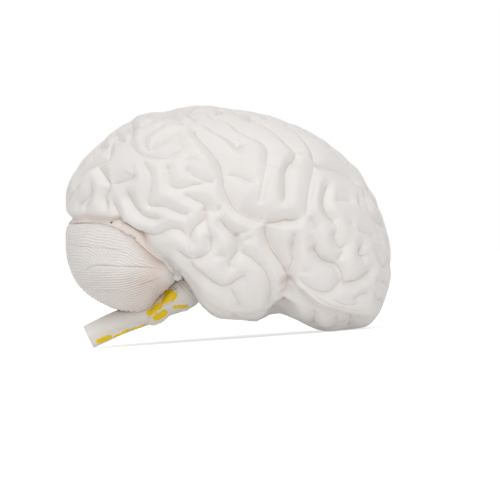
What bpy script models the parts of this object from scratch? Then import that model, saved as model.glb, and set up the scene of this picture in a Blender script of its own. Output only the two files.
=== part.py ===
"""Human brain teaching model, split down the middle into two halves that pin together.

Each half is a cerebrum, a cerebellum and a brainstem casting in soft plastic. The pieces are drawn
level, x forwards, y to the left and z up, and the assembly is then tipped to stand on its stem and brow.
"""

import bpy
import bmesh
import math
import numpy as np
from mathutils import Matrix, Vector
from mathutils.bvhtree import BVHTree

MM = 0.001

# Driving dimensions of the whole brain, level
LENGTH = 0.1521
WIDTH = 0.1200
HEIGHT = 0.1133

# The size at which the outlines and grooves below are drawn, in millimetres
DRAWN_LENGTH = 152.1
DRAWN_WIDTH = 120.0
DRAWN_HEIGHT = 113.3

# Fits between the castings
SPLIT_GAP = 0.0003
SEAT_GAP = 0.0006
LEAST_GAP = 0.0004

# Locating pins between the halves
PIN_RADIUS = 0.0030
PIN_LENGTH = 0.0200
PIN_BEVEL = 0.0008
PIN_CLEARANCE = 0.0003
PIN_SIDES = 24

# Relief of the folds
SHOULDER_POWER = 1.7
SHOULDER_STRETCH = 1.25
FADE_LENGTH = 0.0035
FADE_FLOOR = 0.35
LINE_STEP = 0.0008
WANDER = 0.0014
WANDER_WAVE = 0.0034
WANDER_SHEAR = 0.7

# Fineness of the forms before they are thinned, and of what is left
FORM_SECTIONS = 64
FORM_ARC = 40
FORM_FLAT = 24
FORM_CELL = 0.0012
PROFILE_STEP = 1.0
WAIST_MARGIN = 0.2
SOFTEN_ROUNDS = 3
FLAT_BAND = 0.7
BALL_SEGMENTS = 32
ROOT_SEGMENTS = 8
STEM_SIDES = 12
STEM_CHORDS = 3
CEREBRUM_FACES = 4300
CEREBELLUM_FACES = 1150
SHARP_ANGLE = math.radians(50)

# The search for the resting stance
MOST_TILT = math.radians(25)
TILT_ROUNDS = 40

# Finishes

SOFT_WHITE = (0.86, 0.83, 0.80, 1.0)
SOFT_GREY = (0.78, 0.74, 0.70, 1.0)
PIN_IVORY = (0.80, 0.76, 0.66, 1.0)
MATT = 0.55
SATIN = 0.40

# Outlines of the cerebrum seen from the right, back to front: (x, z)
CEREBRUM_TOP = [
    (-76.0, 13.3), (-75.6, 18.0), (-73.4, 22.9), (-70.7, 27.5), (-67.3, 32.0), (-63.1, 36.2), (-59.1, 40.1),
    (-54.7, 44.2), (-50.5, 47.2), (-46.0, 49.6), (-42.3, 52.0), (-37.9, 53.5), (-28.2, 54.6), (-19.6, 56.6),
    (-9.9, 57.1), (0.0, 55.8), (10.3, 54.0), (19.4, 52.6), (25.5, 50.2), (33.6, 47.2), (40.7, 43.4),
    (45.8, 40.1), (50.8, 36.2), (55.9, 31.7), (60.3, 27.4), (63.8, 21.8), (68.2, 14.7), (70.9, 8.0),
    (73.6, 1.2), (75.4, -8.0), (75.9, -15.0), (76.1, -20.8),
]
CEREBRUM_BOTTOM = [
    (-76.0, 13.3), (-75.5, 9.0), (-74.2, 6.4), (-72.0, 4.6), (-66.0, 4.2), (-58.0, 3.8), (-50.0, 1.4),
    (-46.0, -0.6), (-41.0, -4.0), (-38.0, -7.0), (-35.0, -10.3), (-31.0, -13.6), (-27.5, -16.0),
    (-24.8, -19.5), (-21.2, -23.4), (-18.0, -27.0), (-14.0, -34.0), (-10.4, -39.5), (-4.3, -42.9),
    (1.7, -44.3), (7.9, -44.7), (16.1, -43.3), (23.1, -39.9), (30.4, -42.3), (35.8, -45.1), (41.1, -47.6),
    (46.6, -48.7), (52.8, -48.0), (59.6, -47.1), (65.4, -46.0), (69.4, -41.8), (72.2, -36.2),
    (75.0, -28.0), (76.1, -20.8),
]
# Half width of the cerebrum seen from above, and the height at which it is widest: (x, y), (x, z)
CEREBRUM_SIDE = [
    (-76.0, 0.0), (-75.4, 12.0), (-73.5, 21.0), (-69.0, 30.0), (-62.0, 38.5), (-52.0, 46.5), (-38.0, 54.0),
    (-22.0, 58.8), (-8.0, 60.0), (6.0, 59.5), (20.0, 57.5), (34.0, 54.0), (46.0, 49.5), (56.0, 44.0),
    (64.0, 37.0), (70.0, 29.0), (74.0, 19.0), (75.8, 9.5), (76.1, 0.0),
]
CEREBRUM_WAIST = [(-76.0, 13.3), (-60.0, 16.0), (-40.0, 10.0), (-20.0, 0.0), (5.0, -8.0), (30.0, -10.0),
                  (50.0, -14.0), (70.0, -19.0), (76.1, -20.8)]

# Outlines of the cerebellum, in the same way
CEREBELLUM_TOP = [(-76.9, -6.0), (-76.3, -1.5), (-74.5, 2.0), (-70.5, 4.8), (-64.0, 7.6), (-56.0, 9.2),
                  (-50.0, 9.2), (-44.0, 7.4), (-38.0, 3.5), (-32.0, -3.0), (-27.0, -9.8), (-23.5, -15.5),
                  (-22.0, -20.5)]
CEREBELLUM_BOTTOM = [(-76.9, -6.0), (-75.9, -15.0), (-73.6, -21.7), (-70.5, -27.3), (-66.4, -31.4),
                     (-61.8, -34.5), (-57.5, -36.6), (-53.8, -38.3), (-48.0, -39.4), (-42.0, -39.7),
                     (-38.0, -38.7), (-35.0, -36.7), (-31.5, -32.5), (-27.5, -29.0), (-24.5, -25.5),
                     (-22.0, -20.5)]
CEREBELLUM_SIDE = [(-76.9, 0.0), (-75.5, 14.0), (-72.0, 25.0), (-65.0, 35.5), (-56.0, 43.0), (-46.0, 47.0),
                   (-38.0, 47.5), (-31.0, 46.5), (-26.5, 43.0), (-23.5, 34.0), (-22.3, 20.0), (-22.0, 0.0)]
CEREBELLUM_WAIST = [(-76.9, -6.0), (-60.0, -15.0), (-45.0, -18.0), (-30.0, -20.0), (-22.0, -20.5)]
# Squareness of the sections, above and below the widest height: (x, power of the curve)
CEREBRUM_SQUARE_ABOVE = [(-76.0, 2.3), (76.1, 2.2)]
CEREBRUM_SQUARE_BELOW = [(-76.0, 8.0), (-45.0, 8.0), (-28.0, 4.4), (-15.0, 3.2), (20.0, 2.8), (76.1, 2.6)]
CEREBELLUM_SQUARE_ABOVE = [(-76.9, 3.8), (-40.0, 3.8), (-22.0, 2.8)]
CEREBELLUM_SQUARE_BELOW = [(-76.9, 2.3), (-22.0, 2.3)]
# Notch between the two cerebellar halves at the back: depth, half width, start and run to full depth
NOTCH = (5.0, 6.5, -48.0, 20.0)

# Brainstem along its middle line: (x, z, half thickness, half width)
STEM_LINE = [
    (-65.3, -51.2, 5.7, 6.6), (-58.0, -47.7, 5.9, 6.8), (-52.3, -45.0, 5.9, 7.2), (-46.0, -42.6, 5.9, 8.0),
    (-40.0, -40.0, 6.3, 9.2), (-35.0, -37.9, 6.9, 10.5), (-30.5, -35.2, 7.0, 13.0),
    (-26.0, -32.3, 8.6, 18.0), (-21.5, -29.0, 10.0, 20.5), (-17.8, -24.8, 8.8, 18.0),
    (-15.0, -20.6, 7.8, 14.0), (-13.0, -16.6, 7.4, 11.5),
]
# Nerve roots moulded on the stem: (start x, y, z), (end x, y, z), radius
NERVE_ROOTS = [
    ((-29.2, -14.5, -35.0), (-24.8, -19.0, -30.0), 2.0),
    ((-36.5, -9.0, -41.0), (-31.0, -11.0, -36.0), 1.7),
    ((-34.8, -5.0, -43.6), (-28.8, -6.5, -39.6), 2.9),
    ((-25.0, -5.0, -37.6), (-19.5, -6.0, -37.6), 1.9),
    ((-44.5, -6.2, -46.6), (-39.5, -7.0, -44.8), 1.2),
    ((-53.0, -5.0, -50.4), (-47.5, -5.4, -48.2), 1.1),
]

# Hollow under the cerebrum round the stem: centre and half sizes
BASE_HOLLOW = ((-5.0, 0.0, -46.0), (28.0, 22.5, 24.0))

# Folds of the side, each with its depth, the reach of its left and right shoulder, and its points (x, z)
SIDE_FOLDS = [
    (5.2, 3.0, 4.5, [(24.7, -34.0), (26.6, -31.0), (27.9, -27.5), (28.0, -24.0), (27.0, -20.5), (25.3, -17.0),
                     (23.2, -13.5), (21.0, -10.0), (19.2, -6.0), (18.0, -2.0), (17.6, 1.8)]),
    (3.4, 3.0, 5.0, [(17.6, 2.0), (14.5, 3.2), (11.0, 4.6), (7.5, 6.0), (4.8, 7.8), (2.6, 10.2), (1.0, 13.0),
                     (-0.5, 16.0), (-1.4, 19.5), (-1.9, 23.0), (-2.4, 26.5), (-3.6, 30.0), (-5.0, 32.8),
                     (-7.0, 35.5), (-9.5, 38.5), (-12.0, 41.3), (-14.3, 44.0), (-15.8, 46.3)]),
    (4.2, 3.0, 2.6, [(17.6, 2.0), (20.0, 2.3), (24.0, 3.1), (27.0, 3.7), (30.5, 3.7), (33.5, 4.4)]),
    (2.6, 4.0, 2.6, [(-1.5, 24.8), (2.0, 24.8), (5.5, 23.9), (8.8, 22.6), (11.2, 21.3), (13.0, 20.0)]),
    (2.5, 6.0, 2.6, [(-22.5, 48.6), (-17.5, 49.8), (-12.5, 49.3), (-9.0, 47.5), (-6.0, 45.4), (-2.5, 43.6),
                     (0.5, 41.8), (3.0, 39.8), (4.8, 37.5), (6.5, 38.2), (8.5, 38.6)]),
    (2.5, 5.0, 2.6, [(-9.0, 52.6), (-5.0, 51.2), (-1.0, 50.4), (2.0, 48.8), (4.5, 46.5), (8.0, 44.5),
                     (12.0, 42.4), (15.5, 40.6), (17.8, 38.4), (18.7, 35.3), (18.4, 31.5), (17.7, 28.0)]),
    (1.4, 3.0, 3.0, [(17.7, 28.5), (17.0, 24.5), (16.3, 20.5), (15.6, 16.5), (14.8, 13.0), (13.5, 10.5)]),
    (2.5, 5.0, 2.6, [(10.3, 52.6), (13.0, 50.7), (16.5, 48.8), (20.5, 46.4), (24.5, 43.2), (28.0, 39.6),
                     (30.8, 36.8), (31.8, 34.3)]),
    (3.3, 2.4, 2.4, [(31.8, 34.8), (31.4, 32.8), (30.2, 31.2), (28.5, 29.8), (27.2, 27.0), (26.9, 23.0),
                     (26.9, 18.5), (26.8, 14.5), (25.9, 12.0)]),
    (2.2, 5.0, 2.6, [(19.5, 52.4), (24.0, 49.9), (28.5, 47.6), (32.5, 45.0), (35.8, 41.8), (38.3, 38.0),
                     (39.8, 34.0), (40.2, 30.0)]),
    (1.4, 3.0, 3.0, [(40.2, 30.5), (39.6, 26.0), (38.8, 22.0), (38.0, 18.0), (37.2, 14.0), (36.8, 10.0),
                     (36.3, 6.5), (35.0, 4.8)]),
    (1.8, 3.0, 2.6, [(35.0, 45.8), (39.0, 43.6), (42.0, 41.5), (45.5, 39.0), (50.0, 36.0)]),
    (2.3, 4.5, 2.6, [(40.3, 28.5), (44.0, 28.6), (48.0, 27.7), (52.0, 26.6), (55.5, 24.8), (58.6, 22.8),
                     (60.8, 19.5)]),
    (1.7, 3.0, 2.6, [(50.5, 33.6), (54.5, 31.0), (57.8, 28.0)]),
    (3.0, 2.6, 2.6, [(46.8, 20.3), (46.0, 17.5), (45.1, 14.0), (45.0, 11.0), (45.6, 8.0), (46.9, 5.6),
                     (48.8, 3.4), (50.4, 1.0)]),
    (2.2, 2.6, 2.6, [(50.4, -1.0), (49.6, -4.6), (51.0, -7.6), (52.8, -9.3), (55.4, -7.8)]),
    (2.0, 4.0, 2.0, [(50.0, 12.6), (54.0, 13.0), (58.8, 12.7)]),
    (1.9, 2.6, 2.6, [(61.2, 14.4), (61.8, 11.8), (63.8, 10.0)]),
    (2.2, 3.0, 3.0, [(37.6, 5.4), (39.8, 3.0), (41.4, 0.8), (42.8, -1.8)]),
    (2.8, 2.8, 2.8, [(31.3, -4.5), (30.5, -8.0), (30.3, -12.0), (30.7, -15.0), (30.1, -18.0), (28.9, -21.0),
                     (28.0, -24.0)]),
    (2.9, 2.8, 2.8, [(40.8, -7.0), (41.0, -10.0), (42.5, -12.6), (44.7, -14.6), (47.2, -15.9), (49.8, -16.3),
                     (51.7, -18.0), (53.3, -20.5), (54.2, -23.5), (55.0, -25.1), (58.0, -25.3),
                     (61.0, -24.6), (63.5, -23.0), (65.6, -21.4), (67.0, -19.0)]),
    (2.2, 2.6, 2.6, [(53.9, -9.8), (53.2, -12.2), (51.6, -14.6), (50.4, -16.2)]),
    (2.4, 3.0, 2.6, [(33.2, -23.2), (34.8, -26.2), (37.5, -28.3), (40.5, -29.6), (44.0, -30.6),
                     (47.5, -30.0), (50.2, -28.3), (52.6, -26.2), (54.3, -25.0)]),
    (2.2, 2.6, 2.6, [(58.0, -33.0), (60.5, -32.6), (63.3, -31.2), (66.8, -30.2)]),
    (3.2, 2.8, 2.8, [(62.9, -7.2), (62.3, -10.5), (62.4, -12.8), (65.2, -13.4)]),
    (1.6, 2.6, 2.6, [(60.0, -0.4), (64.5, -2.3), (68.8, -3.8)]),
    (1.6, 2.6, 2.6, [(57.2, 3.0), (58.2, 0.0)]),
    (2.8, 2.2, 4.5, [(31.5, -29.8), (34.0, -32.2), (37.0, -35.2), (41.0, -37.8), (46.0, -39.2), (52.0, -40.6),
                     (58.0, -42.0), (64.0, -43.0)]),
    (1.8, 2.0, 2.0, [(28.6, -24.5), (30.5, -24.6), (33.0, -24.2)]),
    (1.1, 2.2, 2.2, [(33.0, -22.0), (35.0, -20.9), (38.2, -20.5)]),
    (3.4, 3.0, 3.0, [(-3.4, 5.0), (-2.0, 2.2), (0.0, -0.2), (2.2, -2.3), (3.7, -4.5), (4.5, -7.0),
                     (4.5, -9.5), (3.9, -12.0), (2.5, -13.8), (1.0, -16.0), (0.8, -18.0), (0.1, -20.6)]),
    (2.6, 2.4, 2.4, [(3.6, -3.0), (6.5, -2.4), (9.8, -1.7)]),
    (1.6, 2.4, 2.4, [(6.0, -7.3), (9.0, -5.6), (12.3, -4.2)]),
    (1.8, 2.2, 2.2, [(5.0, -11.0), (7.5, -10.8), (9.6, -10.2)]),
    (2.8, 3.0, 3.0, [(5.0, -11.5), (8.5, -12.5), (11.5, -14.2), (14.2, -16.8), (16.8, -19.5), (18.8, -22.8),
                     (20.0, -26.0), (20.5, -29.5), (20.4, -33.0), (19.6, -37.2)]),
    (2.2, 2.4, 2.4, [(-5.8, -13.3), (-3.0, -12.9), (-0.8, -13.8), (0.7, -15.6)]),
    (2.8, 3.0, 3.0, [(-20.6, 15.8), (-18.0, 14.5), (-15.0, 13.0), (-12.4, 11.9), (-10.6, 10.5), (-9.6, 8.3),
                     (-9.6, 6.3), (-10.6, 4.0), (-12.6, 2.0), (-15.0, 0.0), (-16.8, -2.3), (-17.4, -4.8),
                     (-16.6, -7.0)]),
    (2.6, 3.0, 2.8, [(-48.6, 1.2), (-45.5, -0.8), (-42.0, -2.8), (-38.0, -3.9), (-34.0, -4.1), (-31.0, -3.0),
                     (-28.0, -1.3), (-25.0, -0.6), (-22.0, -1.3), (-19.8, -3.0), (-17.8, -5.0)]),
    (3.0, 2.6, 2.8, [(-24.3, -10.5), (-22.0, -12.7), (-19.5, -14.7), (-16.6, -15.4), (-13.8, -14.7),
                     (-11.0, -13.2), (-9.0, -11.4), (-8.0, -9.5), (-7.7, -6.5), (-7.3, -2.8)]),
    (2.8, 2.6, 3.0, [(-17.3, -15.6), (-17.2, -18.0), (-15.0, -20.5), (-12.0, -22.7), (-9.0, -24.7),
                     (-6.0, -26.7), (-3.4, -27.8), (-1.0, -27.8), (1.5, -26.8), (4.0, -25.0), (6.3, -23.4),
                     (8.6, -21.8)]),
    (2.4, 2.6, 2.6, [(0.6, -28.2), (2.2, -31.0), (3.6, -33.3), (4.7, -35.5), (5.0, -38.5)]),
    (2.8, 3.0, 2.8, [(-28.3, 29.8), (-27.4, 27.0), (-27.0, 23.5), (-26.8, 20.8), (-25.5, 18.9), (-22.5, 18.3),
                     (-19.5, 18.9), (-16.5, 19.8), (-13.3, 20.3), (-10.0, 21.2)]),
    (2.3, 3.0, 3.0, [(-19.6, 28.2), (-17.7, 26.2), (-15.5, 24.2), (-12.7, 22.7), (-10.0, 21.7), (-7.6, 21.3),
                     (-5.4, 22.6)]),
    (1.6, 2.4, 2.4, [(-19.0, 31.2), (-17.0, 32.1), (-14.5, 31.9), (-12.5, 30.3)]),
    (2.2, 3.0, 3.0, [(-24.8, 45.0), (-22.8, 42.8), (-21.5, 40.0), (-20.7, 37.6), (-22.5, 35.8), (-25.2, 34.6),
                     (-28.0, 33.0), (-32.0, 32.7), (-36.0, 33.2), (-40.0, 34.0), (-42.7, 35.9),
                     (-44.6, 38.3), (-46.6, 40.2)]),
    (2.4, 3.4, 2.6, [(-45.8, 49.6), (-44.6, 46.8), (-41.5, 47.0), (-38.0, 48.6), (-34.5, 50.0)]),
    (2.0, 2.6, 2.6, [(-30.3, 48.0), (-33.0, 46.3), (-35.6, 44.8), (-37.8, 42.5), (-38.3, 40.0), (-37.5, 37.8),
                     (-35.7, 36.6), (-33.0, 38.2), (-30.0, 40.6), (-27.3, 43.0), (-24.8, 44.8)]),
    (1.8, 2.6, 2.6, [(-39.3, 52.3), (-35.0, 52.6), (-31.0, 53.0)]),
    (2.0, 3.0, 2.6, [(-29.5, 54.0), (-26.5, 53.0), (-24.0, 51.7), (-22.0, 50.0)]),
    (2.0, 3.0, 2.6, [(-19.3, 56.6), (-18.3, 54.5), (-14.0, 54.7), (-9.5, 54.7), (-4.5, 53.6)]),
    (2.4, 2.8, 3.0, [(-38.8, 31.2), (-37.8, 28.4), (-36.0, 25.5), (-35.4, 22.0), (-35.7, 18.5), (-36.4, 15.0),
                     (-37.1, 11.8), (-36.2, 9.8), (-33.0, 9.7), (-29.5, 9.5), (-26.0, 8.2), (-22.8, 6.7),
                     (-20.5, 6.0), (-17.3, 6.8)]),
    (2.8, 2.8, 2.8, [(-46.8, 17.0), (-46.1, 14.3), (-45.0, 12.0), (-43.6, 9.8), (-41.8, 7.6), (-39.6, 5.6),
                     (-37.0, 4.4), (-34.0, 3.9), (-31.0, 4.3)]),
    (2.8, 2.8, 2.8, [(-60.6, 28.6), (-59.2, 26.3), (-57.3, 23.4), (-55.6, 20.4), (-55.6, 17.8), (-56.6, 15.5),
                     (-57.5, 12.8), (-56.8, 10.3), (-55.5, 8.0)]),
    (2.8, 4.5, 2.4, [(-54.8, 20.0), (-51.5, 20.6), (-48.5, 21.5), (-45.8, 22.4), (-44.0, 23.6),
                     (-43.4, 25.6)]),
    (2.6, 2.6, 2.6, [(-53.4, 12.3), (-52.3, 9.2), (-51.2, 6.3), (-50.4, 3.3), (-49.6, 0.8)]),
    (2.6, 2.6, 2.6, [(-63.4, 19.2), (-64.2, 16.0), (-65.3, 13.0), (-66.3, 10.0), (-67.2, 7.0)]),
    (2.4, 3.4, 2.6, [(-73.0, 16.0), (-70.8, 21.3), (-68.7, 24.8), (-66.0, 27.3), (-62.5, 29.2), (-59.0, 30.6),
                     (-56.3, 31.8), (-55.3, 34.0), (-55.1, 36.5), (-54.3, 39.3), (-52.0, 41.7),
                     (-49.8, 41.0), (-47.8, 39.8)]),
    (1.8, 2.6, 2.6, [(-65.0, 31.2), (-62.0, 33.0), (-60.0, 34.7), (-57.8, 35.5)]),
    (1.8, 2.6, 2.6, [(-55.6, 42.8), (-52.5, 43.8), (-50.5, 42.2)]),
    (2.2, 2.2, 2.2, [(-5.4, 6.9), (-3.8, 8.4), (-2.3, 10.0)]),
    (2.2, 2.6, 2.6, [(-46.2, 49.5), (-45.2, 46.5), (-45.0, 43.5), (-46.0, 41.0), (-47.6, 39.2)]),
    (1.8, 2.4, 2.4, [(-15.5, -26.0), (-12.6, -31.5), (-10.2, -35.2), (-7.0, -38.2), (-3.0, -40.3),
                     (1.5, -40.7), (4.5, -40.4), (7.0, -42.0)]),
    (1.8, 2.4, 2.4, [(13.5, -39.4), (17.5, -39.1), (21.0, -38.4), (23.0, -37.2)]),
]

# Broad steps where one lobe stands proud of the next, added to the folds
LOBE_STEPS = [
    (2.4, 0.1, 13.0, [(24.7, -34.0), (27.9, -27.5), (27.0, -20.5), (23.2, -13.5), (19.2, -6.0), (17.6, 1.8),
                      (11.0, 4.6), (4.8, 7.8)]),
    (1.4, 9.0, 0.1, [(-17.8, -5.0), (-16.6, -14.5), (-11.0, -13.2), (-7.7, -6.5), (-9.6, 6.3), (-3.4, 5.0)]),
    (1.2, 4.5, 4.5, [(-2.0, 2.2), (1.5, -1.5), (3.9, -4.5), (4.6, -9.5), (2.5, -13.8)]),
    (1.0, 4.0, 4.0, [(31.0, -5.0), (30.5, -12.0), (29.6, -19.0), (28.0, -24.0)]),
    (1.6, 8.0, 0.1, [(60.0, -25.0), (54.3, -25.0), (49.8, -16.3), (42.5, -12.6), (40.8, -7.0)]),
]

# Folds of the upper side near the middle, the back and the brow: (x, y, z), taken to the nearest surface
WRAPPED_FOLDS = [
    (2.6, 3.2, 3.2, [(-15.8, -30.0, 47.0), (-17.5, -20.0, 53.0), (-19.3, -10.0, 57.0), (-20.0, -1.0, 57.0)]),
    (2.4, 3.2, 3.2, [(-4.5, -25.0, 51.0), (-3.0, -16.0, 54.0), (-4.0, -8.0, 57.0), (-2.0, -1.0, 57.0)]),
    (2.2, 3.0, 3.0, [(10.3, -24.0, 49.0), (12.0, -17.0, 52.0), (20.0, -15.0, 50.0), (29.0, -15.0, 47.0),
                     (38.0, -14.0, 43.0), (48.0, -13.0, 36.0), (57.0, -12.0, 27.0), (65.0, -11.0, 15.0)]),
    (2.0, 3.0, 3.0, [(18.0, -16.0, 50.0), (17.0, -8.0, 54.0), (18.0, -1.0, 54.0)]),
    (2.0, 3.0, 3.0, [(40.0, -14.0, 42.0), (41.0, -6.0, 44.0), (40.0, -1.0, 45.0)]),
    (2.2, 3.0, 3.0, [(-29.0, -24.0, 52.0), (-31.0, -14.0, 54.0), (-30.0, -1.0, 56.0)]),
    (2.4, 3.0, 3.0, [(-45.5, -28.0, 44.0), (-47.0, -16.0, 47.0), (-46.0, -7.0, 49.0), (-47.0, -1.0, 50.0)]),
    (2.2, 3.0, 3.0, [(-56.0, -27.0, 36.0), (-59.0, -16.0, 38.0), (-60.0, -8.0, 39.0), (-57.0, -1.0, 43.0)]),
    (2.0, 3.0, 3.0, [(-66.0, -22.0, 27.0), (-69.0, -13.0, 28.0), (-71.0, -5.0, 26.0)]),
    (2.0, 3.0, 3.0, [(-72.0, -18.0, 17.0), (-75.0, -9.0, 14.0), (-74.0, -3.0, 8.0)]),
    (2.0, 3.0, 3.0, [(66.0, -26.0, 4.0), (70.5, -17.0, 4.0), (73.5, -8.0, -1.0), (75.5, -2.0, -6.0)]),
    (2.0, 3.0, 3.0, [(68.0, -28.0, -12.0), (73.0, -19.0, -17.0), (75.0, -10.0, -16.0), (76.0, -2.0, -20.0)]),
    (2.0, 3.0, 3.0, [(67.0, -27.0, -31.0), (71.5, -16.0, -33.0), (72.5, -6.0, -35.0)]),
    (2.4, 3.0, 3.0, [(69.0, -9.0, -42.0), (58.0, -8.5, -47.5), (46.0, -9.0, -48.5), (34.0, -10.0, -44.0),
                     (27.0, -12.0, -41.0)]),
    (2.2, 3.0, 3.0, [(60.0, -20.0, -44.5), (50.0, -22.0, -46.0), (41.0, -20.0, -46.0), (34.0, -24.0, -42.0)]),
    (2.0, 3.0, 3.0, [(50.0, -22.0, -46.0), (49.0, -31.0, -43.0)]),
    (6.0, 4.5, 4.5, [(25.5, -42.0, -33.0), (24.0, -34.0, -38.0), (22.5, -24.0, -40.0), (21.0, -14.0, -38.0)]),
    (2.4, 3.0, 3.0, [(16.0, -27.0, -43.0), (4.0, -28.0, -43.5), (-8.0, -29.0, -39.0), (-20.0, -33.0, -24.0),
                     (-31.0, -36.0, -13.0), (-46.0, -33.0, -0.5), (-60.0, -24.0, 3.0)]),
    (2.0, 3.0, 3.0, [(12.0, -38.0, -41.5), (-2.0, -41.0, -40.0), (-14.0, -43.0, -30.0),
                     (-25.0, -46.0, -17.0)]),
    (2.2, 2.8, 2.8, [(26.0, -13.0, 48.0), (27.0, -6.0, 49.5), (25.0, -1.0, 50.0)]),
    (2.0, 2.8, 2.8, [(34.0, -9.0, 46.5), (33.0, -1.0, 47.0)]),
    (2.2, 2.8, 2.8, [(48.0, -12.0, 36.0), (49.0, -6.0, 37.5), (47.5, -1.0, 38.5)]),
    (2.2, 2.8, 2.8, [(56.0, -11.0, 28.0), (57.5, -5.0, 30.0), (56.0, -1.0, 31.0)]),
    (2.2, 2.8, 2.8, [(63.0, -10.0, 18.0), (65.0, -4.0, 20.0), (64.5, -1.0, 21.0)]),
    (2.0, 2.8, 2.8, [(69.0, -9.0, 8.0), (71.5, -1.0, 9.0)]),
    (2.2, 2.8, 2.8, [(-11.0, -16.0, 56.0), (-12.0, -8.0, 57.0), (-10.0, -1.0, 57.0)]),
    (2.2, 2.8, 2.8, [(-24.0, -14.0, 55.0), (-26.0, -8.0, 56.0), (-25.0, -1.0, 55.5)]),
    (2.2, 2.8, 2.8, [(-37.0, -16.0, 52.0), (-39.0, -8.0, 53.5), (-38.0, -1.0, 53.5)]),
    (2.2, 2.8, 2.8, [(-52.0, -15.0, 44.0), (-54.0, -8.0, 45.0), (-53.0, -1.0, 45.5)]),
    (2.2, 2.8, 2.8, [(-24.0, -20.0, 53.5), (-30.0, -17.0, 53.0), (-38.0, -19.0, 50.5), (-46.0, -17.0, 47.5)]),
    (2.2, 2.8, 2.8, [(1.0, -20.0, 53.0), (4.0, -12.0, 54.5), (3.0, -5.0, 56.0), (5.0, -1.0, 56.0)]),
    (2.2, 2.8, 2.8, [(74.0, -5.0, -1.0), (73.0, -9.0, 6.0), (69.5, -11.0, 14.0)]),
    (2.2, 2.8, 2.8, [(72.0, -20.0, -8.0), (69.0, -24.0, 0.0), (66.0, -24.0, 8.0), (64.0, -20.0, 15.0)]),
    (2.0, 2.8, 2.8, [(75.5, -8.0, -14.0), (75.0, -12.0, -8.0), (73.0, -17.0, -4.0)]),
    (2.2, 2.8, 2.8, [(74.0, -8.0, -30.0), (75.0, -14.0, -26.0), (72.0, -22.0, -24.0), (68.0, -28.0, -26.0)]),
    (2.2, 2.8, 2.8, [(-74.0, -12.0, 9.0), (-73.0, -18.0, 13.0), (-70.0, -24.0, 19.0), (-66.0, -26.0, 25.0)]),
    (2.0, 2.8, 2.8, [(-75.5, -4.0, 12.0), (-74.5, -8.0, 19.0), (-72.0, -7.0, 24.0)]),
    (2.0, 2.8, 2.8, [(-70.0, -14.0, 24.0), (-66.0, -15.0, 31.0), (-62.0, -10.0, 36.0)]),
    (2.2, 2.8, 2.8, [(-69.0, -26.0, 10.0), (-64.0, -32.0, 14.0), (-62.0, -33.0, 20.0)]),
    (2.2, 2.8, 2.8, [(44.0, -12.0, -48.0), (45.0, -20.0, -46.5)]),
    (2.2, 2.8, 2.8, [(57.0, -12.0, -47.0), (58.0, -20.0, -46.0), (56.0, -30.0, -42.0)]),
    (2.2, 2.8, 2.8, [(40.0, -20.0, -46.0), (38.0, -30.0, -42.0), (40.0, -38.0, -38.0)]),
    (2.2, 2.8, 2.8, [(4.0, -28.0, -43.0), (3.0, -36.0, -42.0), (5.0, -42.0, -40.0)]),
    (2.0, 2.8, 2.8, [(-8.0, -29.0, -39.0), (-10.0, -22.0, -38.0)]),
    (2.0, 2.8, 2.8, [(-20.0, -33.0, -24.0), (-22.0, -26.0, -23.0)]),
    (2.2, 2.8, 2.8, [(10.0, -22.0, -42.0), (2.0, -20.0, -42.0), (-6.0, -20.0, -38.0)]),
]

# Folds and raised bands of the flat middle faces: (x, z); a negative depth stands proud of the hollow
MIDDLE_FOLDS = [
    (1.6, 2.6, 2.6, [(27.0, -14.0), (33.0, -8.0), (36.0, 2.0), (33.0, 11.0), (25.0, 18.0), (12.0, 22.5),
                     (-3.0, 24.0), (-17.0, 22.5), (-28.0, 17.0), (-34.0, 9.0), (-34.0, 1.0)]),
    (1.5, 2.2, 2.2, [(22.0, -4.0), (26.0, 2.0), (24.0, 9.0), (14.0, 14.0), (0.0, 16.0), (-14.0, 15.0),
                     (-23.0, 10.0), (-26.0, 3.0), (-22.0, 0.0)]),
    (1.8, 3.0, 3.0, [(40.0, -20.0), (48.0, -8.0), (50.0, 6.0), (45.0, 20.0), (33.0, 30.0), (16.0, 35.0),
                     (-2.0, 37.0), (-17.0, 38.0), (-26.0, 43.0), (-29.0, 52.0)]),
    (1.6, 2.6, 2.6, [(56.0, -26.0), (63.0, -12.0), (63.0, 2.0), (57.0, 16.0)]),
    (1.4, 2.6, 2.6, [(30.0, 31.0), (34.0, 44.0)]),
    (1.4, 2.6, 2.6, [(8.0, 36.0), (6.0, 53.0)]),
    (1.4, 2.6, 2.6, [(50.0, 14.0), (60.0, 24.0)]),
    (2.0, 3.0, 3.0, [(-56.0, 42.0), (-50.0, 30.0), (-44.0, 18.0), (-38.0, 8.0)]),
    (1.8, 3.0, 3.0, [(-73.0, 14.0), (-62.0, 15.0), (-52.0, 13.0), (-43.0, 15.0)]),
    (1.4, 2.6, 2.6, [(-28.0, 30.0), (-38.0, 30.0), (-42.0, 40.0), (-38.0, 49.0)]),
    (1.4, 2.6, 2.6, [(18.0, -10.0), (10.0, -16.0), (2.0, -18.0), (-8.0, -14.0), (-16.0, -6.0), (-12.0, 2.0),
                     (-2.0, 6.0), (10.0, 5.0), (17.0, -1.0), (18.0, -10.0)]),
]

# The cleft between the halves, along the rim of the middle face
RIM_FOLDS = [
    (3.6, 5.0, 5.0, CEREBRUM_TOP + CEREBRUM_BOTTOM[:13:-1]),
]

# Fissures of the cerebellum, as arcs about its stalk: height where each meets the back, and its depth
STALK = (-19.0, -20.5)
CEREBELLUM_FISSURES = [(-3.0, 1.0), (-7.5, 1.5), (-12.0, 1.0), (-17.5, 1.9), (-22.0, 1.0), (-26.0, 1.2),
                       (-30.0, 1.6), (-33.5, 1.0), (-36.0, 1.0)]
FISSURE_REACH = 1.7
BACK_OF_CEREBELLUM = [(-56.0, -38.0), (-62.0, -34.0), (-70.5, -27.0), (-75.9, -15.0), (-76.9, -6.0),
                      (-76.4, -2.0)]

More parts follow.
